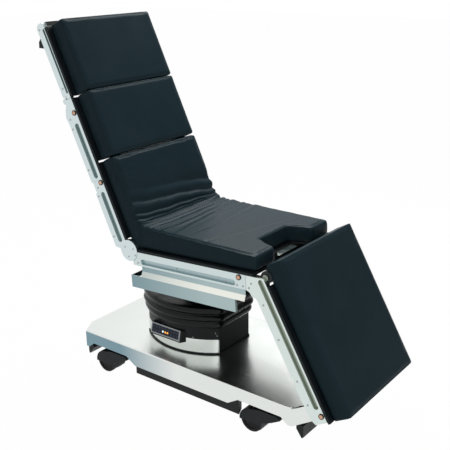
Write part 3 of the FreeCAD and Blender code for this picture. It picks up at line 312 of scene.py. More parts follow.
# Each section's groove colour below is the painted shade of its groove.
SEAT_METAL = brushed("seat_plate_metal", (0.66, 0.75, 0.75), 0.34, (5, 500, 500), (0, -TOP_TILT, 0),
                     painted_light=groove_painted_shade((0.38, 0.48, 0.50)))
BACK_METAL = brushed("back_plate_metal", (0.68, 0.77, 0.78), 0.34, (5, 500, 500), (0, -BACK_ANGLE, 0),
                     painted_light=groove_painted_shade((0.30, 0.37, 0.37)))
LEG_METAL = brushed("leg_plate_metal", (0.72, 0.80, 0.77), 0.34, (5, 500, 500), (0, -LEG_ANGLE, 0),
                    painted_light=groove_painted_shade((0.28, 0.31, 0.26)))
MACHINED = brushed("machined_steel", (0.50, 0.52, 0.53), 0.30, (200, 6, 200))

# %% [markdown]
# ## Paint, plastic and rubber
# Painted frames and moulded plastics differ in gloss and in the grain of their skin. Each gets its
# own grain from small noise, and a slow change in roughness, as handled surfaces have.

# %% Paints and plastics

def skin(name, color, roughness, grain, depth, tone=1.6):
    """Non-metal surface with a fine grain, slow gloss change and slightly lighter high spots."""
    finish = Finish(name, color, roughness, Specular_IOR_Level=0.22)
    fine = finish.noise(grain, 3.0)
    slow = finish.noise(9.0, 2.0)
    finish.feed(Roughness=(slow - 0.5) * 0.22 + (fine - 0.5) * 0.10 + roughness)
    lighter = tuple(channel * tone for channel in color)
    finish.feed(Base_Color=finish.blend_colors((fine * 0.6 + slow * 0.4).clamp(), color, lighter))
    return finish.bump(fine, 0.35, depth)


CHASSIS_PAINT = skin("chassis_paint", (0.004, 0.0055, 0.006), 0.42, 500, 0.0001)
TUBE_PAINT = skin("tube_paint", (0.035, 0.040, 0.042), 0.45, 450, 0.0001, 1.2)
CASING_PLASTIC = skin("casing_plastic", (0.0020, 0.0036, 0.0042), 0.46, 800, 0.0002)
CASTER_PLASTIC = skin("caster_plastic", (0.010, 0.014, 0.016), 0.50, 700, 0.0002)
TYRE = skin("caster_tyre", (0.010, 0.010, 0.011), 0.62, 500, 0.0002)
BOARD_PLASTIC = skin("board_plastic", (0.006, 0.009, 0.011), 0.50, 600, 0.0002)
GASKET_RUBBER = skin("gasket_rubber", (0.004, 0.005, 0.005), 0.55, 600, 0.0002)
BRONZE = brushed("bronze_button", (0.62, 0.36, 0.24), 0.30, (300, 300, 300))
PANEL_TRIM = skin("panel_trim", (0.62, 0.66, 0.68), 0.35, 700, 0.0001, 1.1)
KEYPAD_FILM = skin("keypad_film", (0.010, 0.013, 0.022), 0.30, 900, 0.00005)

# %% [markdown]
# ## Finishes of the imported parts
# A list of parts per finish is easier to check than one line per part.

# %% Assign finishes
FINISHES = (
    (COVER_STEEL, ("base_cover",)),
    (COLUMN_STEEL, ("column_cover",)),
    (SKIRT_STEEL, ("lower_tray", "upper_skirts")),
    (SEAT_METAL, ("seat_side_plates",)),
    (BACK_METAL, ("lower_back_frame", "upper_back_frame", "head_frame")),
    (LEG_METAL, ("leg_frame",)),
    (MACHINED, ("slide_rails", "lift_rod", "lift_cylinder", "tilt_trunnion", "back_hinge_shaft",
                "upper_back_prongs")),
    (CHASSIS_PAINT, ("chassis", "brake_bar_foot", "brake_bar_head")),
    (TUBE_PAINT, ("seat_cross_frame", "outer_column", "inner_column", "tilt_block", "column_head")),
    (CASING_PLASTIC, ("column_casing", "panel_housing", "slide_shoes", "head_release_lever")),
    (GASKET_RUBBER, ("cover_gasket",)),
    (BOARD_PLASTIC, ("seat_board", "lower_back_board", "upper_back_board", "head_board", "leg_board")),
    (PANEL_TRIM, ("panel_bezel",)),
    (KEYPAD_FILM, ("panel_keypad",)),
)


def wear(obj, finish):
    obj.data.materials.clear()
    obj.data.materials.append(finish.material)


for finish, names in FINISHES:
    for name in names:
        wear(nodes[name], finish)
for name in nodes:
    if "button" in name:
        wear(nodes[name], BRONZE)
    if name.startswith("caster_hood"):
        wear(nodes[name], CASTER_PLASTIC)
    if name.startswith("caster_wheels"):
        wear(nodes[name], TYRE)

# %% [markdown]
# ## Working by hand in code
# Operators act on what is selected, so each step first clears the selection. These helpers do the
# clicks that every piece needs: select one object, join several, apply a modifier, bake the place
# into the mesh.

# %% Helpers for modelling

def only(obj):
    """Select one object and make it the active one."""
    bpy.ops.object.select_all(action="DESELECT")
    obj.select_set(True)
    bpy.context.view_layer.objects.active = obj


def bake_place(obj):
    only(obj)
    bpy.ops.object.transform_apply(location=True, rotation=True, scale=True)


def take_new(name):
    """Name the piece that an operator has just added, and bake its place."""
    obj = bpy.context.object
    obj.name = name
    bake_place(obj)
    return obj


def block(name, lo, hi):
    """A cube from corner lo to corner hi."""
    bpy.ops.object.select_all(action="DESELECT")
    size = [b - a for a, b in zip(lo, hi)]
    middle = [(a + b) / 2 for a, b in zip(lo, hi)]
    bpy.ops.mesh.primitive_cube_add(size=1, location=middle, scale=size)
    return take_new(name)


def settle(obj, place):
    """Turn a piece from its section's flat frame to its rest place, and bake that into the mesh."""
    obj.matrix_world = place
    bake_place(obj)


def join(pieces):
    """Merge pieces into the first of them."""
    only(pieces[0])
    for piece in pieces:
        piece.select_set(True)
    bpy.ops.object.join()


def modify(obj, kind, **settings):
    """Add a modifier and apply it at once."""
    only(obj)
    modifier = obj.modifiers.new(kind.lower(), kind)
    for key, value in settings.items():
        setattr(modifier, key, value)
    bpy.ops.object.modifier_apply(modifier=modifier.name)


def smooth(obj, angle=None):
    only(obj)
    if angle is None:
        bpy.ops.object.shade_smooth()
    else:
        bpy.ops.object.shade_smooth_by_angle(angle=math.radians(angle))


def select_faces(obj, test):
    """Enter edit mode with just the faces chosen whose centre and normal pass the test."""
    only(obj)
    bpy.ops.object.mode_set(mode="EDIT")
    bpy.ops.mesh.select_mode(type="FACE")
    bpy.ops.mesh.select_all(action="DESELECT")
    mesh = bmesh.from_edit_mesh(obj.data)
    for face in mesh.faces:
        face.select = test(face.calc_center_median(), face.normal)
    mesh.select_flush(True)
    bmesh.update_edit_mesh(obj.data)


def edit_all(obj):
    """Enter edit mode with the whole mesh chosen."""
    only(obj)
    bpy.ops.object.mode_set(mode="EDIT")
    bpy.ops.mesh.select_all(action="SELECT")


def leave_edit():
    bpy.ops.object.mode_set(mode="OBJECT")


def face_outward(obj):
    edit_all(obj)
    bpy.ops.mesh.normals_make_consistent(inside=False)
    leave_edit()


def points_of(obj):
    flat = np.zeros(len(obj.data.vertices) * 3)
    obj.data.vertices.foreach_get("co", flat)
    return flat.reshape(-1, 3)


def normals_of(obj):
    flat = np.zeros(len(obj.data.vertices) * 3)
    obj.data.vertices.foreach_get("normal", flat)
    return flat.reshape(-1, 3)


def move_points(obj, points):
    obj.data.vertices.foreach_set("co", points.ravel())
    obj.data.update()


# %% [markdown]
# ## The cushions' cover
# The cover is a coated hospital fabric: nearly black blue-grey, half matt, with a fine leather
# grain. Cells give the grain, and noise at two sizes the small puckers and the slow change of gloss.

# %% Cushion cover finish

def cover_finish(name, stretch, pucker_depth):
    finish = Finish(name, (0.020, 0.040, 0.050), 0.36, 0.0, Specular_IOR_Level=0.045)
    grain = finish.cells(950.0)
    pucker = finish.noise(10.0, 3.0, stretch, (0, 0, 0), 0.55)
    slow = finish.noise(5.0, 2.0)
    finish.feed(Base_Color=finish.blend_colors((slow * 0.6 + pucker * 0.4).clamp(),
                                               (0.016, 0.034, 0.043), (0.024, 0.047, 0.059)))
    finish.feed(Roughness=(slow - 0.5) * 0.20 + (grain - 0.5) * 0.06 + 0.36)
    return finish.bump(grain * 0.03 + pucker * pucker_depth, 0.5, 0.004)


COVER_SMOOTH = cover_finish("cushion_cover", (1, 1, 1), 0.12)
COVER_CREASED = cover_finish("cushion_cover_creased", (3.2, 0.8, 3.2), 0.55)

# %% [markdown]
# ## Foam cushions
# A foam cushion is a block whose cover is pulled tight over it: flat faces with a slight crown and
# soft edges. The block starts a little small, is remeshed evenly and is inflated by cloth
# simulation. Of the simulation's result only the outward part is kept, up to a few millimetres.

# %% Inflate a cushion
VOXEL = 0.0055
PRESSURE = 4.0
LAST_FRAME = 20


def inflate(obj, limit):
    """Swell a closed mesh with cloth pressure: each point outward only, and no further than limit."""
    before = points_of(obj)
    outward = normals_of(obj)
    only(obj)
    cloth = obj.modifiers.new("cloth", "CLOTH")
    cloth.settings.quality = 3
    cloth.settings.use_pressure = True
    cloth.settings.uniform_pressure_force = PRESSURE
    cloth.settings.effector_weights.gravity = 0
    cloth.point_cache.frame_end = LAST_FRAME
    for step in range(1, LAST_FRAME + 1):
        bpy.context.scene.frame_set(step)
    swollen = obj.evaluated_get(bpy.context.evaluated_depsgraph_get())
    after = np.array([v.co[:] for v in swollen.data.vertices])
    obj.modifiers.remove(cloth)
    bpy.context.scene.frame_set(1)
    swell = np.clip(((after - before) * outward).sum(axis=1), 0, limit)
    print(obj.name, "swells by up to", round(float(swell.max()) * 1000, 1), "mm")
    move_points(obj, before + outward * swell[:, None])


WELT = 0.0018
WELT_FACING = 0.72
WELT_SPREAD = 0.13
SWELL = 0.003
END_MARGIN = 0.0010
UNDER_MARGIN = 0.001
EDGE_ROUND = 0.005


def welt_ridge(upward):
    """Height of the stitched seam, which lies where the skin turns through 45 degrees."""
    return WELT * np.exp(-((upward - WELT_FACING) / WELT_SPREAD) ** 2)


def raise_welt(obj):
    """Raise the seam along the front edges of a cushion that still lies flat."""
    normals = normals_of(obj)
    move_points(obj, points_of(obj) + normals * welt_ridge(normals[:, 2])[:, None])


def tight_cushion(name, lo, hi, place, finish):
    """A boxy cushion between two corners of its section's flat frame."""
    start = (lo[0] + END_MARGIN, lo[1] + SWELL, lo[2] + UNDER_MARGIN)
    end = (hi[0] - END_MARGIN, hi[1] - SWELL, hi[2] - SWELL)
    obj = block(name, start, end)
    modify(obj, "BEVEL", width=EDGE_ROUND, segments=3, limit_method="ANGLE")
    modify(obj, "REMESH", mode="VOXEL", voxel_size=VOXEL)
    inflate(obj, SWELL)
    modify(obj, "SMOOTH", factor=0.5, iterations=1)
    modify(obj, "SUBSURF", levels=1, render_levels=1)
    raise_welt(obj)
    settle(obj, place)
    wear(obj, finish)
    smooth(obj)
    return obj


HEAD_ENDS = (-0.965, -0.664)
UPPER_ENDS = (-0.662, -0.383)
LEG_ENDS = (-0.0414, 0.5746)
for name, node, body, ends, place in (
        ("head_cushion", "head_pad", "head", HEAD_ENDS, BACK),
        ("upper_back_cushion", "upper_back_pad", "upper_back", UPPER_ENDS, BACK),
        ("leg_cushion", "leg_pad", "leg", LEG_ENDS, LEG)):
    cushion = tight_cushion(name, (ends[0], -PAD_HALF, BOARD_TOP), (ends[1], PAD_HALF, PAD_TOP), place,
                            COVER_SMOOTH)
    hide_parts(node)
    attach(cushion, body)
    print(name, len(cushion.data.polygons))

# %% [markdown]
# ## The seat and lower back cushion
# One long cushion bends from the lower back into the seat, and its cover bunches up where it bends.
# Two slabs that overlap at the crease become one skin by remeshing, and a flared block cuts the
# opening at the seat's front. The folds are then pressed in along the skin: close together near the
# crease, fading towards the seat's front.

# %% Bent cushion
CREASE_X = 0.044
CREASE_Z = 0.107
SEAT_END = 0.6256
SEAT_FRONT_TOP = 0.074
BACK_TOP_END = -0.381
BACK_CREASE = 0.083
CUT_DEPTH = 0.100
CUT_MOUTH = 0.140
CUT_INNER = 0.095
CUT_FLARE = 0.009
CUT_CLEARANCE = 0.02
CUT_HEIGHT = 0.2
BENT_HALF = PAD_HALF + 0.002
BENT_UNDERSIDE = 0.012
BENT_SWELL = 0.004
CREASE_SIDE = 0.012
CREASE_DROP = 0.016
ROUGH_VOXEL = 0.008
FINE_VOXEL = 0.005


def outline_prism(name, outline, half):
    """A slab with an outline in X and Z: one face, extruded across the table."""
    bpy.ops.object.select_all(action="DESELECT")
    bpy.ops.mesh.primitive_circle_add(vertices=len(outline), radius=1, fill_type="NGON")
    obj = bpy.context.object
    obj.name = name
    for vertex, (x, z) in zip(obj.data.vertices, outline):
        vertex.co = (x, -half, z)
    edit_all(obj)
    bpy.ops.mesh.extrude_region_move(TRANSFORM_OT_translate={"value": (0, 2 * half, 0)})
    leave_edit()
    face_outward(obj)
    return obj


back_to_seat = SEAT.inverted() @ BACK
seat_outline = ((-0.010, 0.030), (0.030, BENT_UNDERSIDE), (SEAT_END - SWELL, BENT_UNDERSIDE),
                (SEAT_END - SWELL, SEAT_FRONT_TOP - SWELL), (CREASE_X + CREASE_SIDE, CREASE_Z - SWELL),
                (CREASE_X - 0.020, CREASE_Z - CREASE_DROP))
back_outline = []
for x, z in ((0.020, 0.030), (-0.040, BENT_UNDERSIDE), (BACK_TOP_END + END_MARGIN, BENT_UNDERSIDE),
             (BACK_TOP_END + END_MARGIN, PAD_TOP - SWELL), (-BACK_CREASE - CREASE_SIDE, PAD_TOP - SWELL),
             (-BACK_CREASE + 0.022, PAD_TOP - CREASE_DROP)):
    point = back_to_seat @ Vector((x, 0, z))
    back_outline.append((point.x, point.z))
bent = outline_prism("seat_and_lower_back_cushion", seat_outline, BENT_HALF)
join((bent, outline_prism("lower_back_half", back_outline, BENT_HALF)))
modify(bent, "REMESH", mode="VOXEL", voxel_size=ROUGH_VOXEL)
modify(bent, "REMESH", mode="VOXEL", voxel_size=FINE_VOXEL)

cutter = block("cutout_block", (SEAT_END - CUT_DEPTH, -CUT_INNER, -CUT_CLEARANCE),
               (SEAT_END + CUT_CLEARANCE, CUT_INNER, CUT_HEIGHT))
select_faces(cutter, lambda centre, normal: normal.x > 0.9)
bpy.ops.transform.resize(value=(1, (CUT_MOUTH + CUT_FLARE) / CUT_INNER, 1))
leave_edit()
modify(bent, "BOOLEAN", object=cutter, operation="DIFFERENCE", solver="EXACT")
bpy.data.objects.remove(cutter)
modify(bent, "REMESH", mode="VOXEL", voxel_size=FINE_VOXEL)
modify(bent, "SMOOTH", factor=0.5, iterations=6)
inflate(bent, BENT_SWELL)
print("bent cushion", len(bent.data.vertices))

# %% [markdown]
# A fold in a pulled cover is a rounded ridge beside a tight valley. Each one here is a line across
# the table: its distance from the crease at the near side, in the middle and at the far side, how
# deep it is at those three places, and how wide. Negative distances run up the back.

# %% Press the folds in
FOLDS = (
    ((-0.150, -0.118, -0.092), (0.1, 0.9, 1.9), 0.022),
    ((-0.098, -0.070, -0.043), (1.0, 1.6, 2.2), 0.016),
    ((-0.046, -0.027, -0.018), (1.0, 1.0, 1.4), 0.008),
    ((-0.024, -0.006, -0.008), (1.2, 1.1, 1.5), 0.009),
    ((-0.006, 0.016, 0.004), (1.4, 0.4, 0.9), 0.007),
    ((0.024, 0.042, 0.028), (1.1, 1.2, 1.3), 0.011),
    ((0.060, 0.072, 0.056), (0.9, 0.4, 0.5), 0.009),
    ((0.104, 0.108, 0.078), (0.6, 0.9, 0.8), 0.013),
    ((0.175, 0.140, 0.141), (0.1, 0.6, 0.8), 0.014),
    ((0.205, 0.182, 0.170), (0.0, 0.1, 0.3), 0.010),
    ((0.233, 0.234, 0.203), (0.0, 0.3, 0.5), 0.015),
    ((0.336, 0.405, 0.470), (0.4, 0.2, 0.0), 0.010),
)
FOLD_DEPTH = 0.0050
PUCKER_PITCH = 0.013
PUCKER_REACH = 0.055
PUCKER_DEPTH = 0.003
CREASE_FILL = 0.006
CREASE_FILL_REACH = 0.020
SEAT_END_FADE = 0.05
BACK_END_FADE = 0.06


def three_point(values, across):
    """A smooth curve through a value at the near side, the middle and the far side."""
    near, middle, far = values
    t = across / PAD_HALF
    return middle + (far - near) / 2 * t + ((far + near) / 2 - middle) * t * t


def fold_height(along, across):
    """Height of the folds at a distance from the crease and a place across the table."""
    drift = 0.0035 * np.sin(across * 14 + 0.6) + 0.0014 * np.sin(across * 47 + along * 29 + 2.1)
    height = np.zeros_like(along)
    for line, depths, width in FOLDS:
        away = (along + drift - three_point(line, across)) / width
        depth = np.clip(three_point(depths, across), 0, 2)
        height += depth * (0.7 * np.exp(-(away - 1.2) ** 2) - np.exp(-np.abs(away) ** 1.3))
    return height * FOLD_DEPTH


def side_puckers(along, across, depth_down):
    """Short tight creases that fan over the cushion's sides next to the hinge."""
    fan = along / (0.35 + depth_down / PAD_TOP)
    wave = 1 - np.abs(np.sin(np.pi * fan / PUCKER_PITCH + 3 * np.sin(depth_down * 60)))
    return PUCKER_DEPTH * (wave - 0.5) * np.exp(-(along / PUCKER_REACH) ** 2)


def press_folds(obj):
    """Move the cushion's points along their normals by the height of folds, puckers and seam."""
    points = points_of(obj)
    normals = normals_of(obj)
    to_back = np.array(back_to_seat.inverted())
    spread = points @ to_back[:3, :3].T + to_back[:3, 3]
    on_seat = points[:, 0] - CREASE_X
    on_back = -spread[:, 0] - BACK_CREASE
    seat_side = on_seat > on_back
    along = np.where(seat_side, np.maximum(on_seat, 0), -np.maximum(on_back, 0))
    top = np.where(seat_side, normals[:, 2], normals @ to_back[:3, :3].T[:, 2])
    facing = np.clip((top - 0.15) * 2.5, 0, 1)
    ends = np.clip((SEAT_END - 0.02 - points[:, 0]) / SEAT_END_FADE, 0, 1)
    ends *= np.clip((spread[:, 0] - BACK_TOP_END) / BACK_END_FADE, 0, 1)
    down = np.clip(np.where(seat_side, CREASE_Z - points[:, 2], PAD_TOP - spread[:, 2]), 0, 0.1)
    sides = np.clip(np.abs(normals[:, 1]) * 1.6 - 0.5, 0, 1)
    height = fold_height(along, points[:, 1]) * facing * ends
    height += side_puckers(along, points[:, 1], down) * sides
    height += CREASE_FILL * np.exp(-(along / CREASE_FILL_REACH) ** 2) * facing
    ridge = welt_ridge(top) * (np.abs(normals[:, 1]) > 0.3)
    move_points(obj, points + normals * (height + ridge)[:, None])


modify(bent, "SUBSURF", levels=1, render_levels=1)
press_folds(bent)
settle(bent, SEAT)
wear(bent, COVER_CREASED)
smooth(bent)
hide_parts("seat_pad", "lower_back_pad")
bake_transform(bent)
print("bent cushion faces", len(bent.data.polygons))

# %% [markdown]
# ## The bellows
# The rubber bellows hides the lifting column. Its plan is a lens: flat ends and bowed sides. One
# ring of points is extruded upwards, and each ring is set in or out to make round pleats with
# tight valleys. It stretches between the casing and the column head.

# %% Bellows
LENS_END = 0.197
LENS_END_HALF = 0.105
LENS_BOW = 0.180
COLLAR_TOP = 0.325
PLEAT_TOP = 0.424
BELLOWS_TOP = 0.4465
PLEAT_BULGES = (0.020, 0.028, 0.025)
THROAT = -0.057
SIDE_STEPS = 24
END_STEPS = 10
SIDE_LEAN = 0.6
END_LEAN = 0.8
PLEAT_STEPS = 9
PLEAT_ROUND = 0.55
FIRST_VALLEY = 0.014
VALLEY = 0.013
RUBBER = 0.003
DRAFT_RADIUS = 0.2
DRAFT_STEP = 0.01


def lens_outline():
    """Points round the lens with their outward directions, for an outline that grows evenly."""
    sagitta = LENS_BOW - LENS_END_HALF
    radius = (LENS_END ** 2 + sagitta ** 2) / (2 * sagitta)
    centre = LENS_BOW - radius
    swing = math.asin(LENS_END / radius)
    ring = []
    for i in range(SIDE_STEPS):
        angle = -swing + 2 * swing * i / SIDE_STEPS
        ring.append((radius * math.sin(angle), -(centre + radius * math.cos(angle)),
                     math.sin(angle) * SIDE_LEAN, -math.cos(angle)))
    for i in range(END_STEPS):
        y = -LENS_END_HALF + 2 * LENS_END_HALF * i / END_STEPS
        ring.append((LENS_END, y, 1.0, y / LENS_END_HALF * END_LEAN))
    return ring + [(-x, -y, -nx, -ny) for x, y, nx, ny in ring]


def pleat_profile():
    """Outset and height of each ring, from the casing to the throat."""
    rings = [(0.002, COLLAR_TOP)]
    pitch = (PLEAT_TOP - COLLAR_TOP) / len(PLEAT_BULGES)
    valley = PLEAT_BULGES[0] - FIRST_VALLEY
    for i, bulge in enumerate(PLEAT_BULGES):
        for step in range(PLEAT_STEPS):
            t = (step + 0.5) / PLEAT_STEPS
            swell = math.sin(math.pi * t) ** PLEAT_ROUND
            rings.append((valley + (bulge - valley) * swell, COLLAR_TOP + (i + t) * pitch))
        valley = bulge - VALLEY
    rings += [(valley - 0.012, PLEAT_TOP), (THROAT + 0.006, PLEAT_TOP + 0.002),
              (THROAT, PLEAT_TOP + 0.008), (THROAT, BELLOWS_TOP)]
    return rings


outline = lens_outline()
bpy.ops.object.select_all(action="DESELECT")
bpy.ops.mesh.primitive_circle_add(vertices=len(outline), radius=DRAFT_RADIUS, fill_type="NOTHING")
bellows = bpy.context.object
bellows.name = "bellows_skin"
rings = pleat_profile()
edit_all(bellows)
for step in range(len(rings) - 1):
    bpy.ops.mesh.extrude_edges_move(TRANSFORM_OT_translate={"value": (0, 0, DRAFT_STEP)})
leave_edit()
levels = sorted({round(v.co.z, 4) for v in bellows.data.vertices})
first_ring = [v for v in bellows.data.vertices if round(v.co.z, 4) == levels[0]]
order = {round(math.atan2(v.co.y, v.co.x), 3): i for i, v in
         enumerate(sorted(first_ring, key=lambda v: math.atan2(v.co.y, v.co.x)))}
outline.sort(key=lambda point: math.atan2(point[1], point[0]))
for vertex in bellows.data.vertices:
    outset, height = rings[levels.index(round(vertex.co.z, 4))]
    x, y, nx, ny = outline[order[round(math.atan2(vertex.co.y, vertex.co.x), 3)]]
    vertex.co = (COLUMN_X + x + nx * outset, y + ny * outset, height)
face_outward(bellows)
modify(bellows, "SOLIDIFY", thickness=RUBBER, offset=-1)
modify(bellows, "SUBSURF", levels=1, render_levels=1)
smooth(bellows)
BELLOWS_RUBBER = skin("bellows_rubber", (0.0015, 0.0022, 0.0026), 0.26, 500, 0.0002)
wear(bellows, BELLOWS_RUBBER)
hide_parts("bellows")
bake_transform(bellows)
print("bellows faces", len(bellows.data.polygons))

# %% [markdown]
# ## Screws and studs
# The side plates are held by socket screws. One screw is modelled as a short bevelled cylinder with
# a sunk socket, and copied, each copy with its own mesh, along the plates of each section. The
# casing's studs are the same screw, and a short strip of bright metal trims the cover's near corner.

# %% Screws
SCREW_STEEL = brushed("screw_steel", (0.42, 0.44, 0.45), 0.28, (300, 300, 300))
SCREW_RADIUS = 0.0042
SCREW_DEPTH = 0.0012
SCREW_RIM = 0.0008
SOCKET_RIM = 0.0010
SOCKET_DEPTH = 0.0009
SCREW_STAND = 0.0004
EDGE_BEVEL = 0.0003


def cylinder_along_y(name, vertices, radius, depth, location=(0, 0, 0)):
    bpy.ops.object.select_all(action="DESELECT")
    bpy.ops.mesh.primitive_cylinder_add(vertices=vertices, radius=radius, depth=depth, location=location,
                                        rotation=(math.pi / 2, 0, 0))
    return take_new(name)


def shift_along_y(distance):
    """Extrude the chosen faces along Y."""
    bpy.ops.mesh.extrude_region_move(TRANSFORM_OT_translate={"value": (0, distance, 0)})


def model_screw():
    screw = cylinder_along_y("screw_master", 24, SCREW_RADIUS, SCREW_DEPTH)
    select_faces(screw, lambda centre, normal: normal.y < -0.9)
    bpy.ops.mesh.inset(thickness=SCREW_RIM)
    bpy.ops.mesh.inset(thickness=SOCKET_RIM)
    shift_along_y(SOCKET_DEPTH)
    leave_edit()
    modify(screw, "BEVEL", width=EDGE_BEVEL, segments=2, limit_method="ANGLE")
    smooth(screw, 30)
    wear(screw, SCREW_STEEL)
    return screw


screw_master = model_screw()


def add_screws(name, body, place, face, scale, spots):
    """Screws on the near and far faces of a section's side plates, as one piece."""
    copies = []
    for x, z in spots:
        for side in (-1, 1):
            copy = screw_master.copy()
            copy.data = screw_master.data.copy()
            bpy.context.scene.collection.objects.link(copy)
            turn_round = Matrix.Rotation(0 if side < 0 else math.pi, 4, "Z")
            copy.data.transform(Matrix.Diagonal((scale, 1, scale, 1)))
            copy.data.transform(turn_round)
            copy.data.transform(place @ Matrix.Translation((x, side * (face + SCREW_STAND), z)))
            copies.append(copy)
    join(copies)
    copies[0].name = name
    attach(copies[0], body)


def smooth_block(name, lo, hi, bevel, finish):
    obj = block(name, lo, hi)
    modify(obj, "BEVEL", width=bevel, segments=3, limit_method="ANGLE")
    smooth(obj, 30)
    wear(obj, finish)
    return obj


GROOVE_FLOOR = PLATE_FACE - 0.012
SMALL = 0.8
STUD = 0.75
SCREWS = (
    ("seat_screws", "seat", SEAT, PLATE_FACE, 1.0,
     ((0.034, -0.016), (0.046, -0.046), (0.548, -0.045), (0.575, -0.045))),
    ("seat_groove_screws", "seat", SEAT, GROOVE_FLOOR, SMALL,
     ((0.244, -0.040), (0.457, -0.033), (0.485, -0.045))),
    ("knuckle_screws", "lower_back", BACK, PLATE_FACE, SMALL,
     ((-0.020, -0.014), (0.023, -0.013), (0.0, 0.026))),
    ("lower_back_screws", "lower_back", BACK, PLATE_FACE, 1.0,
     ((-0.075, -0.055), (-0.251, -0.055), (-0.285, -0.040))),
    ("upper_back_screws", "upper_back", BACK, PLATE_FACE, 1.0,
     ((-0.367, -0.056), (-0.545, -0.056), (-0.585, -0.050))),
    ("head_screws", "head", BACK, PLATE_FACE, 1.0, ((-0.711, -0.026), (-0.965, -0.031))),
    ("leg_screws", "leg", LEG, PLATE_FACE, 1.0,
     ((0.089, -0.050), (0.226, -0.050), (0.391, -0.050), (0.485, -0.050), (0.0, -0.062), (0.012, -0.080))),
)
for name, body, place, face, scale, spots in SCREWS:
    add_screws(name, body, place, face, scale, spots)

CORNER_X = COLUMN_X + LENS_END
trim = smooth_block("cover_corner_trim", (CORNER_X - 0.0035, -0.1085, 0.209),
                    (CORNER_X + 0.0006, -0.1045, 0.269), 0.0008, COVER_STEEL)
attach(trim, "base")
CASING_STUDS = ((-0.0187, 0.1618, 0.276), (0.0640, 0.1150, 0.300), (0.0690, 0.1110, 0.288))
for index, (x, half_width, z) in enumerate(CASING_STUDS):
    add_screws("casing_stud_%d" % index, "base", Matrix.Translation((SHIFT, 0, 0)), half_width, STUD,
               ((x, z),))
bpy.data.objects.remove(screw_master)

# %% [markdown]
# ## Release buttons
# Each section unlocks with a bronze button that stands in a dark ring. A cylinder's outer face is
# inset three times: for the ring, which is sunk, for the raised centre and for the shallow dish in
# it. One function makes all eight, so they are alike.

# %% Buttons
BUTTON_RADIUS = 0.0109
BUTTON_DEPTH = 0.018
RING_WIDTH = 0.0026
RIM_WIDTH = 0.0005
RING_SINK = 0.0010
CENTRE_RISE = 0.0012
DISH_RIM = 0.0018
DISH_DEPTH = 0.0004
SEAM = 0.0004


def model_button(name, centre, outward):
    """A round button with a sunk dark ring, facing outward along Y, its face at centre."""
    button = cylinder_along_y(name, 48, BUTTON_RADIUS, BUTTON_DEPTH, (0, BUTTON_DEPTH / 2, 0))
    select_faces(button, lambda middle, normal: normal.y < -0.9)
    bpy.ops.mesh.inset(thickness=RIM_WIDTH)
    shift_along_y(RING_SINK)
    bpy.ops.mesh.inset(thickness=RING_WIDTH)
    shift_along_y(-CENTRE_RISE)
    bpy.ops.mesh.inset(thickness=DISH_RIM)
    shift_along_y(DISH_DEPTH)
    leave_edit()
    modify(button, "BEVEL", width=EDGE_BEVEL, segments=2, limit_method="ANGLE")
    wear(button, BRONZE)
    button.data.materials.append(GASKET_RUBBER.material)
    for face in button.data.polygons:
        middle = face.center
        ringed = math.hypot(middle.x, middle.z) > BUTTON_RADIUS - RING_WIDTH - SEAM
        face.material_index = 1 if ringed else 0
    smooth(button, 30)
    settle(button, Matrix.Translation(centre) @ Matrix.Rotation(0 if outward < 0 else math.pi, 4, "Z"))
    return button


for node in sorted(nodes):
    if "button" in node:
        low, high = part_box(node)
        outward = -1 if low.y < 0 else 1
        face_y = low.y if outward < 0 else high.y
        middle = (low + high) / 2
        button = model_button(node + "_cap", Vector((middle.x, face_y, middle.z)), outward)
        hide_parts(node)
        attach(button, node)
print("buttons", BUTTON_RADIUS)

# %% [markdown]
# ## The control panel
# A membrane keypad has a flat film with slightly raised keys and small lamps. The keys are plain
# bevelled blocks in two rows; three lamps in the middle glow, one white and two orange.

# %% Keypad
KEY_FILM = skin("key_film", (0.030, 0.045, 0.085), 0.35, 900, 0.00005)


def lamp_finish(name, color, glow):
    finish = Finish(name, color, 0.3)
    finish.shader.inputs["Emission Strength"].default_value = glow
    spot = finish.noise(60.0, 1.0)
    finish.feed(Emission_Color=finish.blend_colors(spot, color, tuple(min(1, c * 1.2) for c in color)))
    return finish


WHITE_LAMP = lamp_finish("white_lamp", (0.75, 0.88, 1.0), 1.2)
ORANGE_LAMP = lamp_finish("orange_lamp", (1.0, 0.36, 0.06), 1.3)
PANEL_FOOT = Vector((-0.1465 + SHIFT, -0.197, 0.256))
PANEL = Matrix.Translation(PANEL_FOOT) @ Matrix.Rotation(math.radians(-12.5), 4, "X")
KEYPAD_LENGTH = 0.149
KEYPAD_HEIGHT = 0.036
KEYPAD_RIM = 0.005
KEYPAD_FACE = 0.001
KEY_COLUMNS = 9
KEY_ROWS = 2
KEYS_LEFT_OUT = ((4, 0), (5, 0))
KEY_SIZE = (0.010, 0.0016, 0.009)
KEY_BEVEL = 0.0006
LAMP_RADIUS = 0.0042
LAMP_FLATNESS = 0.4
LAMP_Z = 0.018
LAMPS = ((-0.014, WHITE_LAMP), (0.0, ORANGE_LAMP), (0.012, ORANGE_LAMP))

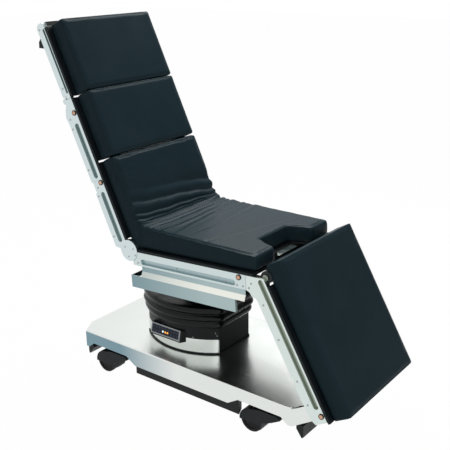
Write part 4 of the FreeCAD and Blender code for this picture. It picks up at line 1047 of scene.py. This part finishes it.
keys = []
for column in range(KEY_COLUMNS):
    for row in range(KEY_ROWS):
        if (column, row) in KEYS_LEFT_OUT:
            continue
        centre = (((column + 0.5) / KEY_COLUMNS - 0.5) * KEYPAD_LENGTH, KEYPAD_FACE,
                  KEYPAD_RIM + (row + 0.5) * KEYPAD_HEIGHT / KEY_ROWS)
        keys.append(smooth_block("key", [c - s / 2 for c, s in zip(centre, KEY_SIZE)],
                                 [c + s / 2 for c, s in zip(centre, KEY_SIZE)], KEY_BEVEL, KEY_FILM))
join(keys)
keys[0].name = "keypad_keys"
settle(keys[0], PANEL)
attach(keys[0], "base")
for index, (offset, finish) in enumerate(LAMPS):
    bpy.ops.object.select_all(action="DESELECT")
    bpy.ops.mesh.primitive_uv_sphere_add(segments=24, ring_count=12, radius=LAMP_RADIUS,
                                         location=(offset, KEYPAD_FACE, LAMP_Z), scale=(1, LAMP_FLATNESS, 1))
    lamp = take_new("panel_lamp_%d" % index)
    settle(lamp, PANEL)
    smooth(lamp)
    wear(lamp, finish)
    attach(lamp, "base")

# %% [markdown]
# ## Floor and light
# The floor is white to the camera and in reflections, but lights the table only as grey paint does.
# A large soft lamp above the far side gives the seat its light, and a weaker one stands at the foot
# end. The world is white too, apart from one darker side that only reflections see.

# %% Floor
FLOOR_SIZE = 40
FLOOR_DROP = 0.0005
WHITE_SHARE = 0.97
WHITE_STRENGTH = 1.015

bpy.ops.object.select_all(action="DESELECT")
bpy.ops.mesh.primitive_plane_add(size=FLOOR_SIZE, location=(0, 0, -FLOOR_DROP))
floor = bpy.context.object
floor.name = "floor"
floor_finish = Finish("floor_paint", (0.45, 0.46, 0.47), 0.9)
path = floor_finish.node("ShaderNodeLightPath", {}, {}, "Is Camera Ray")
glossy = floor_finish.node("ShaderNodeLightPath", {}, {}, "Is Glossy Ray")
seen = (path + glossy).clamp() * WHITE_SHARE
white = floor_finish.node("ShaderNodeEmission", {}, {"Color": (1, 1, 1, 1), "Strength": WHITE_STRENGTH})
output = floor_finish.tree.nodes["Material Output"]
shader_value = Value(floor_finish, floor_finish.shader.outputs[0])
mixed = floor_finish.node("ShaderNodeMixShader", {}, {0: seen, 1: shader_value, 2: white})
floor_finish.tree.links.new(mixed.socket, output.inputs["Surface"])
wear(floor, floor_finish)

# %% Lamps and world
DARK_SIDE = (0.61, 0.75, 0.25)
DARK_SIDE_EDGE = (0.45, 0.95)
DARK_SIDE_SHARE = 0.75
FILL_LIGHT = 0.28


def soft_lamp(name, place, aim, size, watts):
    data = bpy.data.lights.new(name, "AREA")
    data.shape = "RECTANGLE"
    data.size, data.size_y = size
    data.energy = watts
    lamp = bpy.data.objects.new(name, data)
    bpy.context.scene.collection.objects.link(lamp)
    lamp.location = place
    direction = Vector(aim) - Vector(place)
    lamp.rotation_euler = direction.to_track_quat("-Z", "Y").to_euler()


soft_lamp("top_lamp", (-0.9, 1.8, 3.3), (0, 0, 0.7), (2.0, 2.0), 95)
soft_lamp("front_lamp", (2.6, -1.6, 1.6), (0, 0, 0.8), (1.8, 1.8), 13)
world = bpy.data.worlds.new("studio")
bpy.context.scene.world = world
world.use_nodes = True
studio = Wiring(world.node_tree)
to_eye = studio.node("ShaderNodeLightPath", {}, {}, "Is Camera Ray")
to_gloss = studio.node("ShaderNodeLightPath", {}, {}, "Is Glossy Ray")
direction = studio.node("ShaderNodeTexCoord", {}, {}, "Generated")
toward = studio.node("ShaderNodeVectorMath", {"operation": "DOT_PRODUCT"},
                     {0: direction, 1: DARK_SIDE}, "Value")
mirrored = 1 - toward.ramp(*DARK_SIDE_EDGE) * DARK_SIDE_SHARE
strength = (to_eye + to_gloss * mirrored).clamp() + (1 - to_eye - to_gloss).clamp() * FILL_LIGHT
background = world.node_tree.nodes["Background"]
background.inputs["Color"].default_value = (1, 1, 1, 1)
world.node_tree.links.new(strength.socket, background.inputs["Strength"])
bpy.context.scene.view_settings.view_transform = "Standard"
